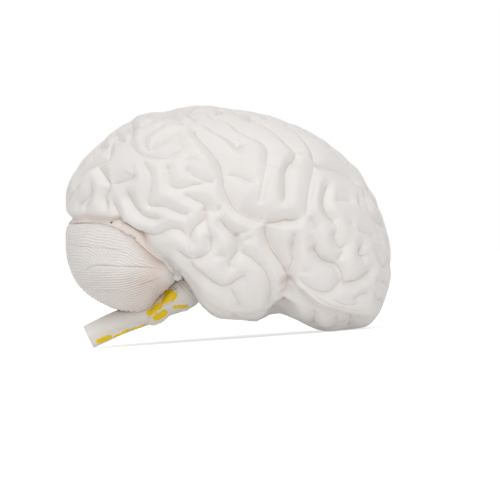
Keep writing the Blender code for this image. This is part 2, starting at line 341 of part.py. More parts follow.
# Pins: (x, z) on the middle faces of the cerebrum and the cerebellum
PIN_PLACES = {"front_pin": (42.0, -5.0), "rear_pin": (-46.0, 31.0), "hind_pin": (-60.0, -12.0)}


def placed(points):
    """Drawn millimetres to metres, stretched to the driving dimensions."""
    scale = np.array([LENGTH / DRAWN_LENGTH, WIDTH / DRAWN_WIDTH, HEIGHT / DRAWN_HEIGHT])
    return np.array(points, float).reshape(-1, 3) * scale


def in_profile(points):
    """Drawn (x, z) points as placed points on the middle plane."""
    return placed([(x, 0.0, z) for x, z in points])


def smooth_line(points, step):
    """A Catmull-Rom curve through the points, with a sample every step."""
    p = np.asarray(points, float)
    p = np.vstack([2 * p[0] - p[1], p, 2 * p[-1] - p[-2]])
    samples = []
    for a, b, c, d in zip(p[:-3], p[1:-2], p[2:-1], p[3:]):
        count = max(2, int(math.ceil(np.linalg.norm(c - b) / step)))
        for t in np.arange(count) / count:
            samples.append(0.5 * (2 * b + (c - a) * t + (2 * a - 5 * b + 4 * c - d) * t ** 2
                                  + (3 * b - a - 3 * c + d) * t ** 3))
    samples.append(p[-2])
    return np.array(samples)


def profile(points, xs):
    """Heights or widths at each x of a smooth curve through drawn points."""
    line = smooth_line(points, PROFILE_STEP)
    order = np.maximum.accumulate(line[:, 0])
    return np.interp(xs, order, line[:, 1])


def add_object(name, mesh):
    """A named object in the scene."""
    obj = bpy.data.objects.new(name, mesh)
    bpy.context.scene.collection.objects.link(obj)
    return obj


def settled(obj):
    """The object with its modifiers made part of its mesh."""
    depsgraph = bpy.context.evaluated_depsgraph_get()
    mesh = bpy.data.meshes.new_from_object(obj.evaluated_get(depsgraph))
    obj.modifiers.clear()
    obj.data = mesh
    return obj


def bridge_rings(mesh_name, rings, first_pole, last_pole):
    """A closed skin over rings of points, with a point or a flat end at each end."""
    bm = bmesh.new()
    loops = [[bm.verts.new(p) for p in ring] for ring in rings]
    count = len(loops[0])
    for ring, after in zip(loops[:-1], loops[1:]):
        for i in range(count):
            j = (i + 1) % count
            bm.faces.new((ring[i], ring[j], after[j], after[i]))
    for ring, pole in ((loops[0], first_pole), (loops[-1], last_pole)):
        if pole is None:
            bm.faces.new(ring)
            continue
        tip = bm.verts.new(pole)
        for i in range(count):
            bm.faces.new((ring[i], ring[(i + 1) % count], tip))
    bmesh.ops.recalc_face_normals(bm, faces=bm.faces)
    mesh = bpy.data.meshes.new(mesh_name)
    bm.to_mesh(mesh)
    bm.free()
    return mesh


def lofted_half(name, top, bottom, side, waist, above, below):
    """Right half of a rounded form: D-shaped sections lofted from back to front."""
    back, front = top[0][0], top[-1][0]
    turn = np.linspace(0, math.pi, FORM_SECTIONS + 2)[1:-1]
    xs = (back + front) / 2 - (front - back) / 2 * np.cos(turn)
    tops, bottoms = profile(top, xs), profile(bottom, xs)
    sides, waists = profile(side, xs), profile(waist, xs)
    margins = WAIST_MARGIN * (tops - bottoms)
    waists = np.clip(waists, bottoms + margins, tops - margins)
    powers = zip(np.interp(xs, *zip(*above)), np.interp(xs, *zip(*below)))
    angles = np.linspace(math.pi / 2, -math.pi / 2, FORM_ARC)
    upper = angles >= 0
    middle = -SPLIT_GAP / 2
    rings = []
    for x, z1, z0, w, m, (n1, n0) in zip(xs, tops, bottoms, sides, waists, powers):
        square = np.where(upper, 2 / n1, 2 / n0)
        rise = np.where(upper, z1 - m, m - z0)
        y = -w * np.abs(np.cos(angles)) ** square
        z = m + rise * np.sign(np.sin(angles)) * np.abs(np.sin(angles)) ** square
        back_up = np.linspace(z0, z1, FORM_FLAT + 2)[1:-1]
        ring = placed([(x, a, b) for a, b in zip(y, z)] + [(x, 0.0, b) for b in back_up])
        ring[:, 1] += middle
        rings.append(ring)
    poles = [placed([(x, 0.0, z)])[0] + [0.0, middle, 0.0] for x, z in (top[0], top[-1])]
    return add_object(name, bridge_rings(name, rings, poles[0], poles[1]))


def stem_half(name):
    """Right half of the brainstem: half rings square to its line, with flat cut ends."""
    line = np.array(STEM_LINE)
    centres = in_profile(line[:, :2])
    tangents = np.gradient(centres, axis=0)
    tangents /= np.linalg.norm(tangents, axis=1)[:, None]
    angles = np.linspace(math.pi / 2, -math.pi / 2, STEM_SIDES + 1)
    middle = np.array([0.0, -SPLIT_GAP / 2, 0.0])
    rings = []
    for centre, tangent, (thick, wide) in zip(centres, tangents, line[:, 2:]):
        half = placed([(0.0, wide, thick)])[0]
        normal = np.array([-tangent[2], 0.0, tangent[0]]) * half[2]
        across = np.array([0.0, -half[1], 0.0])
        ring = [centre + middle + normal * math.sin(a) + across * math.cos(a) for a in angles]
        chord = ring[0] - ring[-1]
        foot = ring[-1]
        ring += [foot + chord * k / (STEM_CHORDS + 1) for k in range(1, STEM_CHORDS + 1)]
        rings.append(ring)
    return add_object(name, bridge_rings(name, rings, None, None))


def ellipsoid(name, centre, half_sizes, along, segments):
    """A closed ellipsoid whose first half size lies along the given direction."""
    bm = bmesh.new()
    bmesh.ops.create_uvsphere(bm, u_segments=segments, v_segments=segments // 2, radius=1.0)
    turn = Vector(along).to_track_quat("X", "Z").to_matrix().to_4x4()
    stretch = Matrix.Diagonal((*half_sizes, 1.0))
    bmesh.ops.transform(bm, matrix=Matrix.Translation(centre) @ turn @ stretch, verts=bm.verts)
    mesh = bpy.data.meshes.new(name)
    bm.to_mesh(mesh)
    bm.free()
    return add_object(name, mesh)


def nerve_root(number, start, end, radius, swell=0.0):
    """One rounded nerve root lying on the stem."""
    a, b = (Vector(p) for p in placed([start, end]))
    radius = radius * MM + swell
    return ellipsoid(f"root_{number}", (a + b) / 2, ((b - a).length / 2 + radius, radius, radius), b - a,
                     ROOT_SEGMENTS)


def combined(obj, other, operation):
    """The object after a Boolean with another, which is used up."""
    step = obj.modifiers.new("shape", "BOOLEAN")
    step.operation = operation
    step.object = other
    step.solver = "EXACT"
    settled(obj)
    bpy.data.objects.remove(other)
    return obj


def swollen(obj, name, amount):
    """A copy grown outwards by an even amount, for cutting a seat."""
    copy = add_object(name, obj.data.copy())
    grow = copy.modifiers.new("grow", "DISPLACE")
    grow.strength = amount
    grow.mid_level = 0.0
    return settled(copy)


def remeshed(obj, cell):
    """An even fine skin over the form, with its middle face kept flat."""
    grid = obj.modifiers.new("grid", "REMESH")
    grid.mode = "VOXEL"
    grid.voxel_size = cell
    soften = obj.modifiers.new("soften", "SMOOTH")
    soften.iterations = SOFTEN_ROUNDS
    settled(obj)
    co = mesh_points(obj.data)
    flat = co[:, 1] > -SPLIT_GAP / 2 - cell * FLAT_BAND
    co[flat, 1] = -SPLIT_GAP / 2
    write_points(obj.data, co)
    return obj


def mesh_points(mesh):
    """Vertex places as an array."""
    co = np.empty(len(mesh.vertices) * 3)
    mesh.vertices.foreach_get("co", co)
    return co.reshape(-1, 3)


def mesh_normals(mesh):
    """Vertex normals as an array."""
    normals = np.empty(len(mesh.vertices) * 3)
    mesh.vertices.foreach_get("normal", normals)
    return normals.reshape(-1, 3)


def write_points(mesh, co):
    """Vertex places set from an array."""
    mesh.vertices.foreach_set("co", co.ravel())
    mesh.update()


def shoulder(t):
    """Drop of a rounded shoulder: one in the groove, none a full reach away."""
    return (1.0 - np.clip(t, 0.0, 1.0)) ** SHOULDER_POWER


def groove_drops(co, normals, line, depth, left, right):
    """How far each vertex sinks for one groove, and which vertices those are."""
    reach = max(left, right)
    inside = np.all((co > line.min(0) - reach) & (co < line.max(0) + reach), axis=1)
    near = np.flatnonzero(inside)
    if len(near) == 0:
        return near, np.zeros(0)
    along = np.gradient(line, axis=0)
    offset = co[near, None, :] - line[None]
    distance = np.linalg.norm(offset, axis=2)
    closest = distance.argmin(axis=1)
    pick = np.arange(len(near))
    side = np.einsum("ij,ij->i", offset[pick, closest], np.cross(normals[near], along[closest]))
    widths = np.where(side > 0, left, right)
    travelled = np.concatenate([[0.0], np.cumsum(np.linalg.norm(np.diff(line, axis=0), axis=1))])
    ends = np.minimum(travelled, travelled[-1] - travelled) / FADE_LENGTH
    fade = FADE_FLOOR + (1.0 - FADE_FLOOR) * np.clip(ends, 0.0, 1.0)
    return near, depth * fade[closest] * shoulder(distance[pick, closest] / widths)


def side_line(tree, points):
    """Drawn (x, z) points laid on the right-hand surface."""
    line = []
    for x, y, z in smooth_line(in_profile(points), LINE_STEP):
        hit = tree.ray_cast(Vector((x, -WIDTH, z)), Vector((0.0, 1.0, 0.0)))[0]
        line.append(hit or tree.find_nearest(Vector((x, y, z)))[0])
    return np.array(line)


def wandering(line):
    """A line put gently off its course, by where it is."""
    phase = line / WANDER_WAVE
    return line + WANDER * np.sin(phase[:, [1, 2, 0]] + WANDER_SHEAR * phase[:, [2, 0, 1]])


def wrapped_line(tree, points):
    """Drawn (x, y, z) points, put off their course and taken to the nearest surface."""
    course = wandering(smooth_line(placed(points), LINE_STEP))
    return np.array([tree.find_nearest(Vector(p))[0] for p in course])


def middle_line(points):
    """Drawn (x, z) points on the middle face."""
    return smooth_line(in_profile(points), LINE_STEP) - np.array([0.0, SPLIT_GAP / 2, 0.0])


def fold_lines(obj):
    """Every groove of the cerebrum as a line on its surface, with its depth and shoulders."""
    tree = BVHTree.FromObject(obj, bpy.context.evaluated_depsgraph_get())
    lines = [(side_line(tree, points), *sizes) for *sizes, points in SIDE_FOLDS]
    lines += [(wrapped_line(tree, points), *sizes) for *sizes, points in WRAPPED_FOLDS]
    lines += [(middle_line(points), *sizes) for *sizes, points in MIDDLE_FOLDS]
    lines += [(middle_line(points), *sizes) for *sizes, points in RIM_FOLDS]
    steps = [(side_line(tree, points), *sizes) for *sizes, points in LOBE_STEPS]
    return lines, steps


def folded(obj):
    """The cerebrum with its grooves sunk into the even form."""
    co, normals = mesh_points(obj.data), mesh_normals(obj.data)
    drop = np.zeros(len(co))
    lines, steps = fold_lines(obj)
    for line, depth, left, right in lines:
        reach = MM * SHOULDER_STRETCH
        near, amount = groove_drops(co, normals, line, depth * MM, left * reach, right * reach)
        drop[near] = np.maximum(drop[near], amount)
    for line, depth, left, right in steps:
        near, amount = groove_drops(co, normals, line, depth * MM, left * MM, right * MM)
        drop[near] += amount
    write_points(obj.data, co - normals * drop[:, None])
    return obj


def notched(obj):
    """The cerebellum drawn in towards the split at the back."""
    depth, half_width, start, run = (size * MM for size in NOTCH)
    co = mesh_points(obj.data)
    rearward = np.clip((start - co[:, 0]) / run, 0.0, 1.0)
    co[:, 0] += depth * rearward * np.exp(-(co[:, 1] / half_width) ** 2)
    write_points(obj.data, co)
    return obj


def fissured(obj):
    """The cerebellum with fissures that fan out from its stalk."""
    co, normals = mesh_points(obj.data), mesh_normals(obj.data)
    stalk = in_profile([STALK])[0]
    across, up = co[:, 0] - stalk[0], co[:, 2] - stalk[2]
    radius = np.hypot(across, up)
    turn = np.arctan2(up, -across)
    backs, heights = zip(*BACK_OF_CEREBELLUM)
    drop = np.zeros(len(co))
    for height, depth in CEREBELLUM_FISSURES:
        back = in_profile([(np.interp(height, heights, backs), height)])[0]
        at = math.atan2(back[2] - stalk[2], stalk[0] - back[0])
        amount = depth * MM * shoulder(radius * np.abs(turn - at) / (FISSURE_REACH * MM))
        drop = np.maximum(drop, amount)
    drop[co[:, 1] > -SPLIT_GAP] = 0.0
    write_points(obj.data, co - normals * drop[:, None])
    return obj


def thinned(obj, faces):
    """The skin brought down to a number of triangles, kept close where it curves most."""
    thin = obj.modifiers.new("thin", "DECIMATE")
    thin.ratio = min(1.0, faces / sum(len(p.vertices) - 2 for p in obj.data.polygons))
    thin.use_collapse_triangulate = True
    return settled(obj)


def pin(name, place):
    """A turned pin across the split, with bevelled ends."""
    bm = bmesh.new()
    bmesh.ops.create_cone(bm, cap_ends=True, segments=PIN_SIDES, radius1=PIN_RADIUS, radius2=PIN_RADIUS,
                          depth=PIN_LENGTH)
    rims = [e for e in bm.edges if abs(e.verts[0].co.z - e.verts[1].co.z) < PIN_LENGTH / 4]
    bmesh.ops.bevel(bm, geom=rims, offset=PIN_BEVEL, segments=1, affect="EDGES")
    bmesh.ops.rotate(bm, matrix=Matrix.Rotation(math.pi / 2, 3, "X"), verts=bm.verts)
    mesh = bpy.data.meshes.new(name)
    bm.to_mesh(mesh)
    bm.free()
    obj = add_object(name, mesh)
    obj.location = in_profile([place])[0]
    return obj


def bored(obj, place):
    """A casting with the blind hole that takes half a pin."""
    bm = bmesh.new()
    bore = PIN_RADIUS + PIN_CLEARANCE
    bmesh.ops.create_cone(bm, cap_ends=True, segments=PIN_SIDES, radius1=bore, radius2=bore,
                          depth=PIN_LENGTH + 2 * PIN_CLEARANCE)
    bmesh.ops.rotate(bm, matrix=Matrix.Rotation(math.pi / 2, 3, "X"), verts=bm.verts)
    bmesh.ops.translate(bm, vec=in_profile([place])[0], verts=bm.verts)
    mesh = bpy.data.meshes.new("bore")
    bm.to_mesh(mesh)
    bm.free()
    return combined(obj, add_object("bore", mesh), "DIFFERENCE")


def left_copy(obj, name):
    """The mirror image of a right-hand casting."""
    bm = bmesh.new()
    bm.from_mesh(obj.data)
    bmesh.ops.scale(bm, vec=(1.0, -1.0, 1.0), verts=bm.verts)
    bmesh.ops.reverse_faces(bm, faces=bm.faces)
    mesh = bpy.data.meshes.new(name)
    bm.to_mesh(mesh)
    bm.free()
    return add_object(name, mesh)


def brainstem():
    """The right brainstem casting with its nerve roots."""
    stem = stem_half("brainstem_right")
    for number, (start, end, radius) in enumerate(NERVE_ROOTS):
        combined(stem, nerve_root(number, start, end, radius), "UNION")
    return stem


def seated(obj, stem_form):
    """A form cut back to clear the stem and its nerve roots."""
    combined(obj, swollen(stem_form, "stem_room", SEAT_GAP), "DIFFERENCE")
    for number, (start, end, radius) in enumerate(NERVE_ROOTS):
        combined(obj, nerve_root(number, start, end, radius, SEAT_GAP), "DIFFERENCE")
    return obj


def trimmed(obj, *neighbours):
    """A thinned casting shaved wherever it comes closer to a neighbour than the least gap."""
    for neighbour in neighbours:
        combined(obj, swollen(neighbour, "room", LEAST_GAP), "DIFFERENCE")
    return obj


def cerebellum(stem_form):
    """The right cerebellum casting, and its even form for cutting the seat above it."""
    form = lofted_half("cerebellum_form", CEREBELLUM_TOP, CEREBELLUM_BOTTOM, CEREBELLUM_SIDE,
                       CEREBELLUM_WAIST, CEREBELLUM_SQUARE_ABOVE, CEREBELLUM_SQUARE_BELOW)
    casting = seated(add_object("cerebellum_right", form.data.copy()), stem_form)
    return thinned(fissured(notched(remeshed(casting, FORM_CELL))), CEREBELLUM_FACES), form


def cerebrum(stem_form, cerebellum_form):
    """The right cerebrum casting, hollowed underneath for what it sits on."""
    form = lofted_half("cerebrum_right", CEREBRUM_TOP, CEREBRUM_BOTTOM, CEREBRUM_SIDE, CEREBRUM_WAIST,
                       CEREBRUM_SQUARE_ABOVE, CEREBRUM_SQUARE_BELOW)
    centre, half_sizes = (Vector(placed([p])[0]) for p in BASE_HOLLOW)
    forwards = Vector((1.0, 0.0, 0.0))
    combined(form, ellipsoid("hollow", centre, half_sizes, forwards, BALL_SEGMENTS), "DIFFERENCE")
    combined(form, swollen(cerebellum_form, "cerebellum_room", SEAT_GAP), "DIFFERENCE")
    seated(form, stem_form)
    return thinned(folded(remeshed(form, FORM_CELL)), CEREBRUM_FACES)


def material(name, colour, roughness):
    """A plain plastic finish."""
    finish = bpy.data.materials.new(name)
    finish.use_nodes = True
    shader = finish.node_tree.nodes["Principled BSDF"]
    shader.inputs["Base Color"].default_value = colour
    shader.inputs["Roughness"].default_value = roughness
    shader.inputs["Metallic"].default_value = 0.0
    return finish


def resting_tilt(co):
    """The nose-down turn that brings the stem's end and the brow to one level."""
    def step(angle):
        heights = co[:, 2] * math.cos(angle) - co[:, 0] * math.sin(angle)
        return heights[co[:, 0] < 0].min() - heights[co[:, 0] >= 0].min()

    low, high = -MOST_TILT, MOST_TILT
    for _ in range(TILT_ROUNDS):
        middle = (low + high) / 2
        if step(middle) < 0:
            low = middle
        else:
            high = middle
    return (low + high) / 2


def stood(objects):
    """The whole assembly tipped onto its stem and brow, centred on the floor under its box."""
    co = np.vstack([mesh_points(o.data) for o in objects if o.location.length == 0])
    tilt = resting_tilt(co)
    turned = co @ np.array(Matrix.Rotation(tilt, 3, "Y")).T
    low, high = turned.min(0), turned.max(0)
    stance = bpy.data.objects.new("stance", None)
    bpy.context.scene.collection.objects.link(stance)
    stance.rotation_euler = (0.0, tilt, 0.0)
    stance.location = (-(low[0] + high[0]) / 2, 0.0, -low[2])
    for obj in objects:
        obj.parent = stance


def finished(obj, finish):
    """A piece with its material, shaded smooth but for real edges."""
    obj.data.materials.clear()
    obj.data.materials.append(finish)
    obj.data.shade_smooth()
    obj.data.set_sharp_from_angle(angle=SHARP_ANGLE)


def main():
    for old in list(bpy.data.objects):
        bpy.data.objects.remove(old)
    stem_form = stem_half("stem_form")
    stem = brainstem()
    hind, hind_form = cerebellum(stem_form)
    fore = cerebrum(stem_form, hind_form)
    for form in (stem_form, hind_form):
        bpy.data.objects.remove(form)
    trimmed(hind, stem)
    trimmed(fore, stem, hind)
    bored(fore, PIN_PLACES["front_pin"])
    bored(fore, PIN_PLACES["rear_pin"])
    bored(hind, PIN_PLACES["hind_pin"])
    white = material("soft_white", SOFT_WHITE, MATT)
    grey = material("soft_grey", SOFT_GREY, MATT)
    ivory = material("pin_ivory", PIN_IVORY, SATIN)
    pieces = []
    for casting, finish in ((fore, white), (hind, white), (stem, grey)):
        twin = left_copy(casting, casting.name.replace("_right", "_left"))
        for obj in (casting, twin):
            finished(obj, finish)
            pieces.append(obj)
    for name, place in PIN_PLACES.items():
        peg = pin(name, place)
        finished(peg, ivory)
        pieces.append(peg)
    stood(pieces)


main()
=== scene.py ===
"""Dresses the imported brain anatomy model: soft white castings, yellow nerve roots, and the studio it stands in.

The forms and folds are drawn in millimetres as seen from the right with the brain level: x towards the
forehead, z up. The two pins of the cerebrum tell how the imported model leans, and every piece is laid on it.
"""

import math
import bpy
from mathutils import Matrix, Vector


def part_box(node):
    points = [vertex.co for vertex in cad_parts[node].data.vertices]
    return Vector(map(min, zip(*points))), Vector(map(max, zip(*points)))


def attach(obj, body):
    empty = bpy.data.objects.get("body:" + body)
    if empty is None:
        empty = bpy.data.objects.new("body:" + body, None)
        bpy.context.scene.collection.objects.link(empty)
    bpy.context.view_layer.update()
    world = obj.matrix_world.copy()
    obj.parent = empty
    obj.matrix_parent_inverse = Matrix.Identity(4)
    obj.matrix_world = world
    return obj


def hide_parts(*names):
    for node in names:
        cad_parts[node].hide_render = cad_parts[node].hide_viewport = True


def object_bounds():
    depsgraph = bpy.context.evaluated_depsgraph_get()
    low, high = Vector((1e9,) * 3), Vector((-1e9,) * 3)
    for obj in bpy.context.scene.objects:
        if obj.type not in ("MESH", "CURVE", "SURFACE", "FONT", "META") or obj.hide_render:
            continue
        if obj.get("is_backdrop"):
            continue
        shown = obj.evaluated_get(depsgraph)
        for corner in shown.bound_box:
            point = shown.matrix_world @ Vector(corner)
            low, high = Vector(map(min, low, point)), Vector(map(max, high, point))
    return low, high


bl_info = {
    "name": "Brain anatomy model",
    "version": (1, 0, 0),
    "blender": (4, 5, 0),
    "location": "View3D > Sidebar > Brain",
    "description": "Builds the folded castings of a brain anatomy model on its frame, and a plain studio",
    "category": "Object",
}

import bpy
import numpy as np
from bpy.props import FloatProperty, FloatVectorProperty, IntProperty, PointerProperty
from mathutils import Matrix, Vector
from mathutils.bvhtree import BVHTree

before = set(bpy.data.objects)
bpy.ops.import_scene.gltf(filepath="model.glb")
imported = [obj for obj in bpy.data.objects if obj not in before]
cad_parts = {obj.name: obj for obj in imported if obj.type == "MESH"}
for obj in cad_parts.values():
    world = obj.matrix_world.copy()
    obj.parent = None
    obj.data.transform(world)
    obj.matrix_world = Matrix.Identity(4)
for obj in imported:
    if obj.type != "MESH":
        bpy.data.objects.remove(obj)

MM = 0.001

# Fits, as in the frame: the split between the halves, and the seats of the glued castings
SPLIT_GAP = 0.0003
SEAT_GAP = 0.0004
MIDDLE = -SPLIT_GAP / 2

# Pins across the split, drawn on the middle plane: (x, z)
FRONT_PIN = (42.0, -5.0)
REAR_PIN = (-46.0, 31.0)
HIND_PIN = (-60.0, -12.0)
PIN_CLEARANCE = 0.0003

# The photograph's frame: the drawn point at its centre, and the width it takes in
VIEW_CENTRE = (10.28, -10.51)
VIEW_WIDTH = 0.23364
VIEW_DISTANCE = 3.0

# Sides of a round hole or pin, and the softened ends of the pins
BORE_SIDES = 64
PIN_BEVEL = 0.0008

# Size of the surface's own unevenness
UNEVEN_SCALE = 0.012
STEM_UNEVEN = 0.3

# Points closer than this are one
MERGE = 0.000001

# The plate that closes the cerebellum at the split
PLATE_INSET = 0.0003
PLATE_THICKNESS = 0.0012

# The stage
FLOOR_SIZE = 60.0
SOFT_ANGLE = math.radians(70.0)
FLOOR_LIFT = 0.30
SENSOR = 36.0

# Outlines of the cerebrum seen from the right, back to front: (x, z)
CEREBRUM_TOP = [
    (-76.0, 13.3), (-75.6, 18.0), (-73.4, 22.9), (-70.7, 27.5), (-67.3, 32.0), (-63.1, 36.2), (-59.1, 40.1),
    (-54.7, 44.2), (-50.5, 47.2), (-46.0, 49.6), (-42.3, 52.0), (-37.9, 53.5), (-28.2, 54.6), (-19.6, 56.6),
    (-9.9, 57.1), (0.0, 55.8), (10.3, 54.0), (19.4, 52.6), (25.5, 50.2), (33.6, 47.2), (40.7, 43.4),
    (45.8, 40.1), (50.8, 36.2), (55.9, 31.7), (60.3, 27.4), (63.8, 21.8), (68.2, 14.7), (70.9, 8.0),
    (73.6, 1.2), (75.4, -8.0), (75.9, -15.0), (76.1, -20.8),
]
CEREBRUM_BOTTOM = [
    (-76.0, 13.3), (-75.5, 9.0), (-74.2, 6.4), (-72.0, 4.6), (-66.0, 4.2), (-58.0, 3.8), (-50.0, 1.4),
    (-46.0, -0.6), (-41.0, -4.0), (-38.0, -7.0), (-35.0, -10.3), (-31.0, -13.6), (-27.5, -16.0),
    (-24.8, -19.5), (-21.2, -23.4), (-18.0, -27.0), (-14.0, -34.0), (-10.4, -39.5), (-4.3, -42.9),
    (1.7, -44.3), (7.9, -44.7), (16.1, -43.3), (23.1, -39.9), (30.4, -42.3), (35.8, -45.1), (41.1, -47.6),
    (46.6, -48.7), (52.8, -48.0), (59.6, -47.1), (65.4, -46.0), (69.4, -41.8), (72.2, -36.2),
    (75.0, -28.0), (76.1, -20.8),
]
# Half width of the cerebrum seen from above, and the height at which it is widest: (x, y), (x, z)
CEREBRUM_SIDE = [
    (-76.0, 0.0), (-75.4, 12.0), (-73.5, 21.0), (-69.0, 30.0), (-62.0, 38.5), (-52.0, 46.5), (-38.0, 54.0),
    (-22.0, 58.8), (-8.0, 60.0), (6.0, 59.5), (20.0, 57.5), (34.0, 54.0), (46.0, 49.5), (56.0, 44.0),
    (64.0, 37.0), (70.0, 29.0), (74.0, 19.0), (75.8, 9.5), (76.1, 0.0),
]
CEREBRUM_WAIST = [(-76.0, 13.3), (-60.0, 16.0), (-40.0, 10.0), (-20.0, 0.0), (5.0, -8.0), (30.0, -10.0),
                  (50.0, -14.0), (70.0, -19.0), (76.1, -20.8)]

# Outlines of the cerebellum, in the same way
CEREBELLUM_TOP = [(-76.9, -6.0), (-76.3, -1.5), (-74.5, 2.0), (-70.5, 4.8), (-64.0, 7.6), (-56.0, 9.2),
                  (-50.0, 9.2), (-44.0, 7.4), (-38.0, 3.5), (-32.0, -3.0), (-27.0, -9.8), (-23.5, -15.5),
                  (-22.0, -20.5)]
CEREBELLUM_BOTTOM = [(-76.9, -6.0), (-75.9, -15.0), (-73.6, -21.7), (-70.5, -27.3), (-66.4, -31.4),
                     (-61.8, -34.5), (-57.5, -36.6), (-53.8, -38.3), (-48.0, -39.4), (-42.0, -39.7),
                     (-38.0, -38.7), (-35.0, -36.7), (-31.5, -32.5), (-27.5, -29.0), (-24.5, -25.5),
                     (-22.0, -20.5)]
CEREBELLUM_SIDE = [(-76.9, 0.0), (-75.5, 14.0), (-72.0, 25.0), (-65.0, 35.5), (-56.0, 43.0), (-46.0, 47.0),
                   (-38.0, 47.5), (-31.0, 46.5), (-26.5, 43.0), (-23.5, 34.0), (-22.3, 20.0), (-22.0, 0.0)]
CEREBELLUM_WAIST = [(-76.9, -6.0), (-60.0, -15.0), (-45.0, -18.0), (-30.0, -20.0), (-22.0, -20.5)]
# Squareness of the sections, above and below the widest height: (x, power of the curve)
CEREBRUM_SQUARE_ABOVE = [(-76.0, 2.3), (76.1, 2.2)]
CEREBRUM_SQUARE_BELOW = [(-76.0, 8.0), (-45.0, 8.0), (-28.0, 4.4), (-15.0, 3.2), (20.0, 2.8), (76.1, 2.6)]
CEREBELLUM_SQUARE_ABOVE = [(-76.9, 3.8), (-40.0, 3.8), (-22.0, 2.8)]
CEREBELLUM_SQUARE_BELOW = [(-76.9, 2.3), (-22.0, 2.3)]
# Notch between the two cerebellar halves at the back: depth, half width, start and run to full depth
NOTCH = (5.0, 6.5, -48.0, 20.0)

# Brainstem along its middle line: (x, z, half thickness, half width)
STEM_LINE = [
    (-65.3, -51.2, 5.7, 6.6), (-58.0, -47.7, 5.9, 6.8), (-52.3, -45.0, 5.9, 7.2), (-46.0, -42.6, 5.9, 8.0),
    (-40.0, -40.0, 6.3, 9.2), (-35.0, -37.9, 6.9, 10.5), (-30.5, -35.2, 7.0, 13.0),
    (-26.0, -32.3, 8.6, 18.0), (-21.5, -29.0, 10.0, 20.5), (-17.8, -24.8, 8.8, 18.0),
    (-15.0, -20.6, 7.8, 14.0), (-13.0, -16.6, 7.4, 11.5),
]
# Nerve roots moulded on the stem: (start x, y, z), (end x, y, z), radius
NERVE_ROOTS = [
    ((-29.2, -14.5, -35.0), (-24.8, -19.0, -30.0), 2.0),
    ((-36.5, -9.0, -41.0), (-31.0, -11.0, -36.0), 1.7),
    ((-34.8, -5.0, -43.6), (-28.8, -6.5, -39.6), 2.9),
    ((-25.0, -5.0, -37.6), (-19.5, -6.0, -37.6), 1.9),
    ((-44.5, -6.2, -46.6), (-39.5, -7.0, -44.8), 1.2),
    ((-53.0, -5.0, -50.4), (-47.5, -5.4, -48.2), 1.1),
]

# Hollow under the cerebrum round the stem: centre and half sizes
BASE_HOLLOW = ((-5.0, 0.0, -46.0), (28.0, 22.5, 24.0))

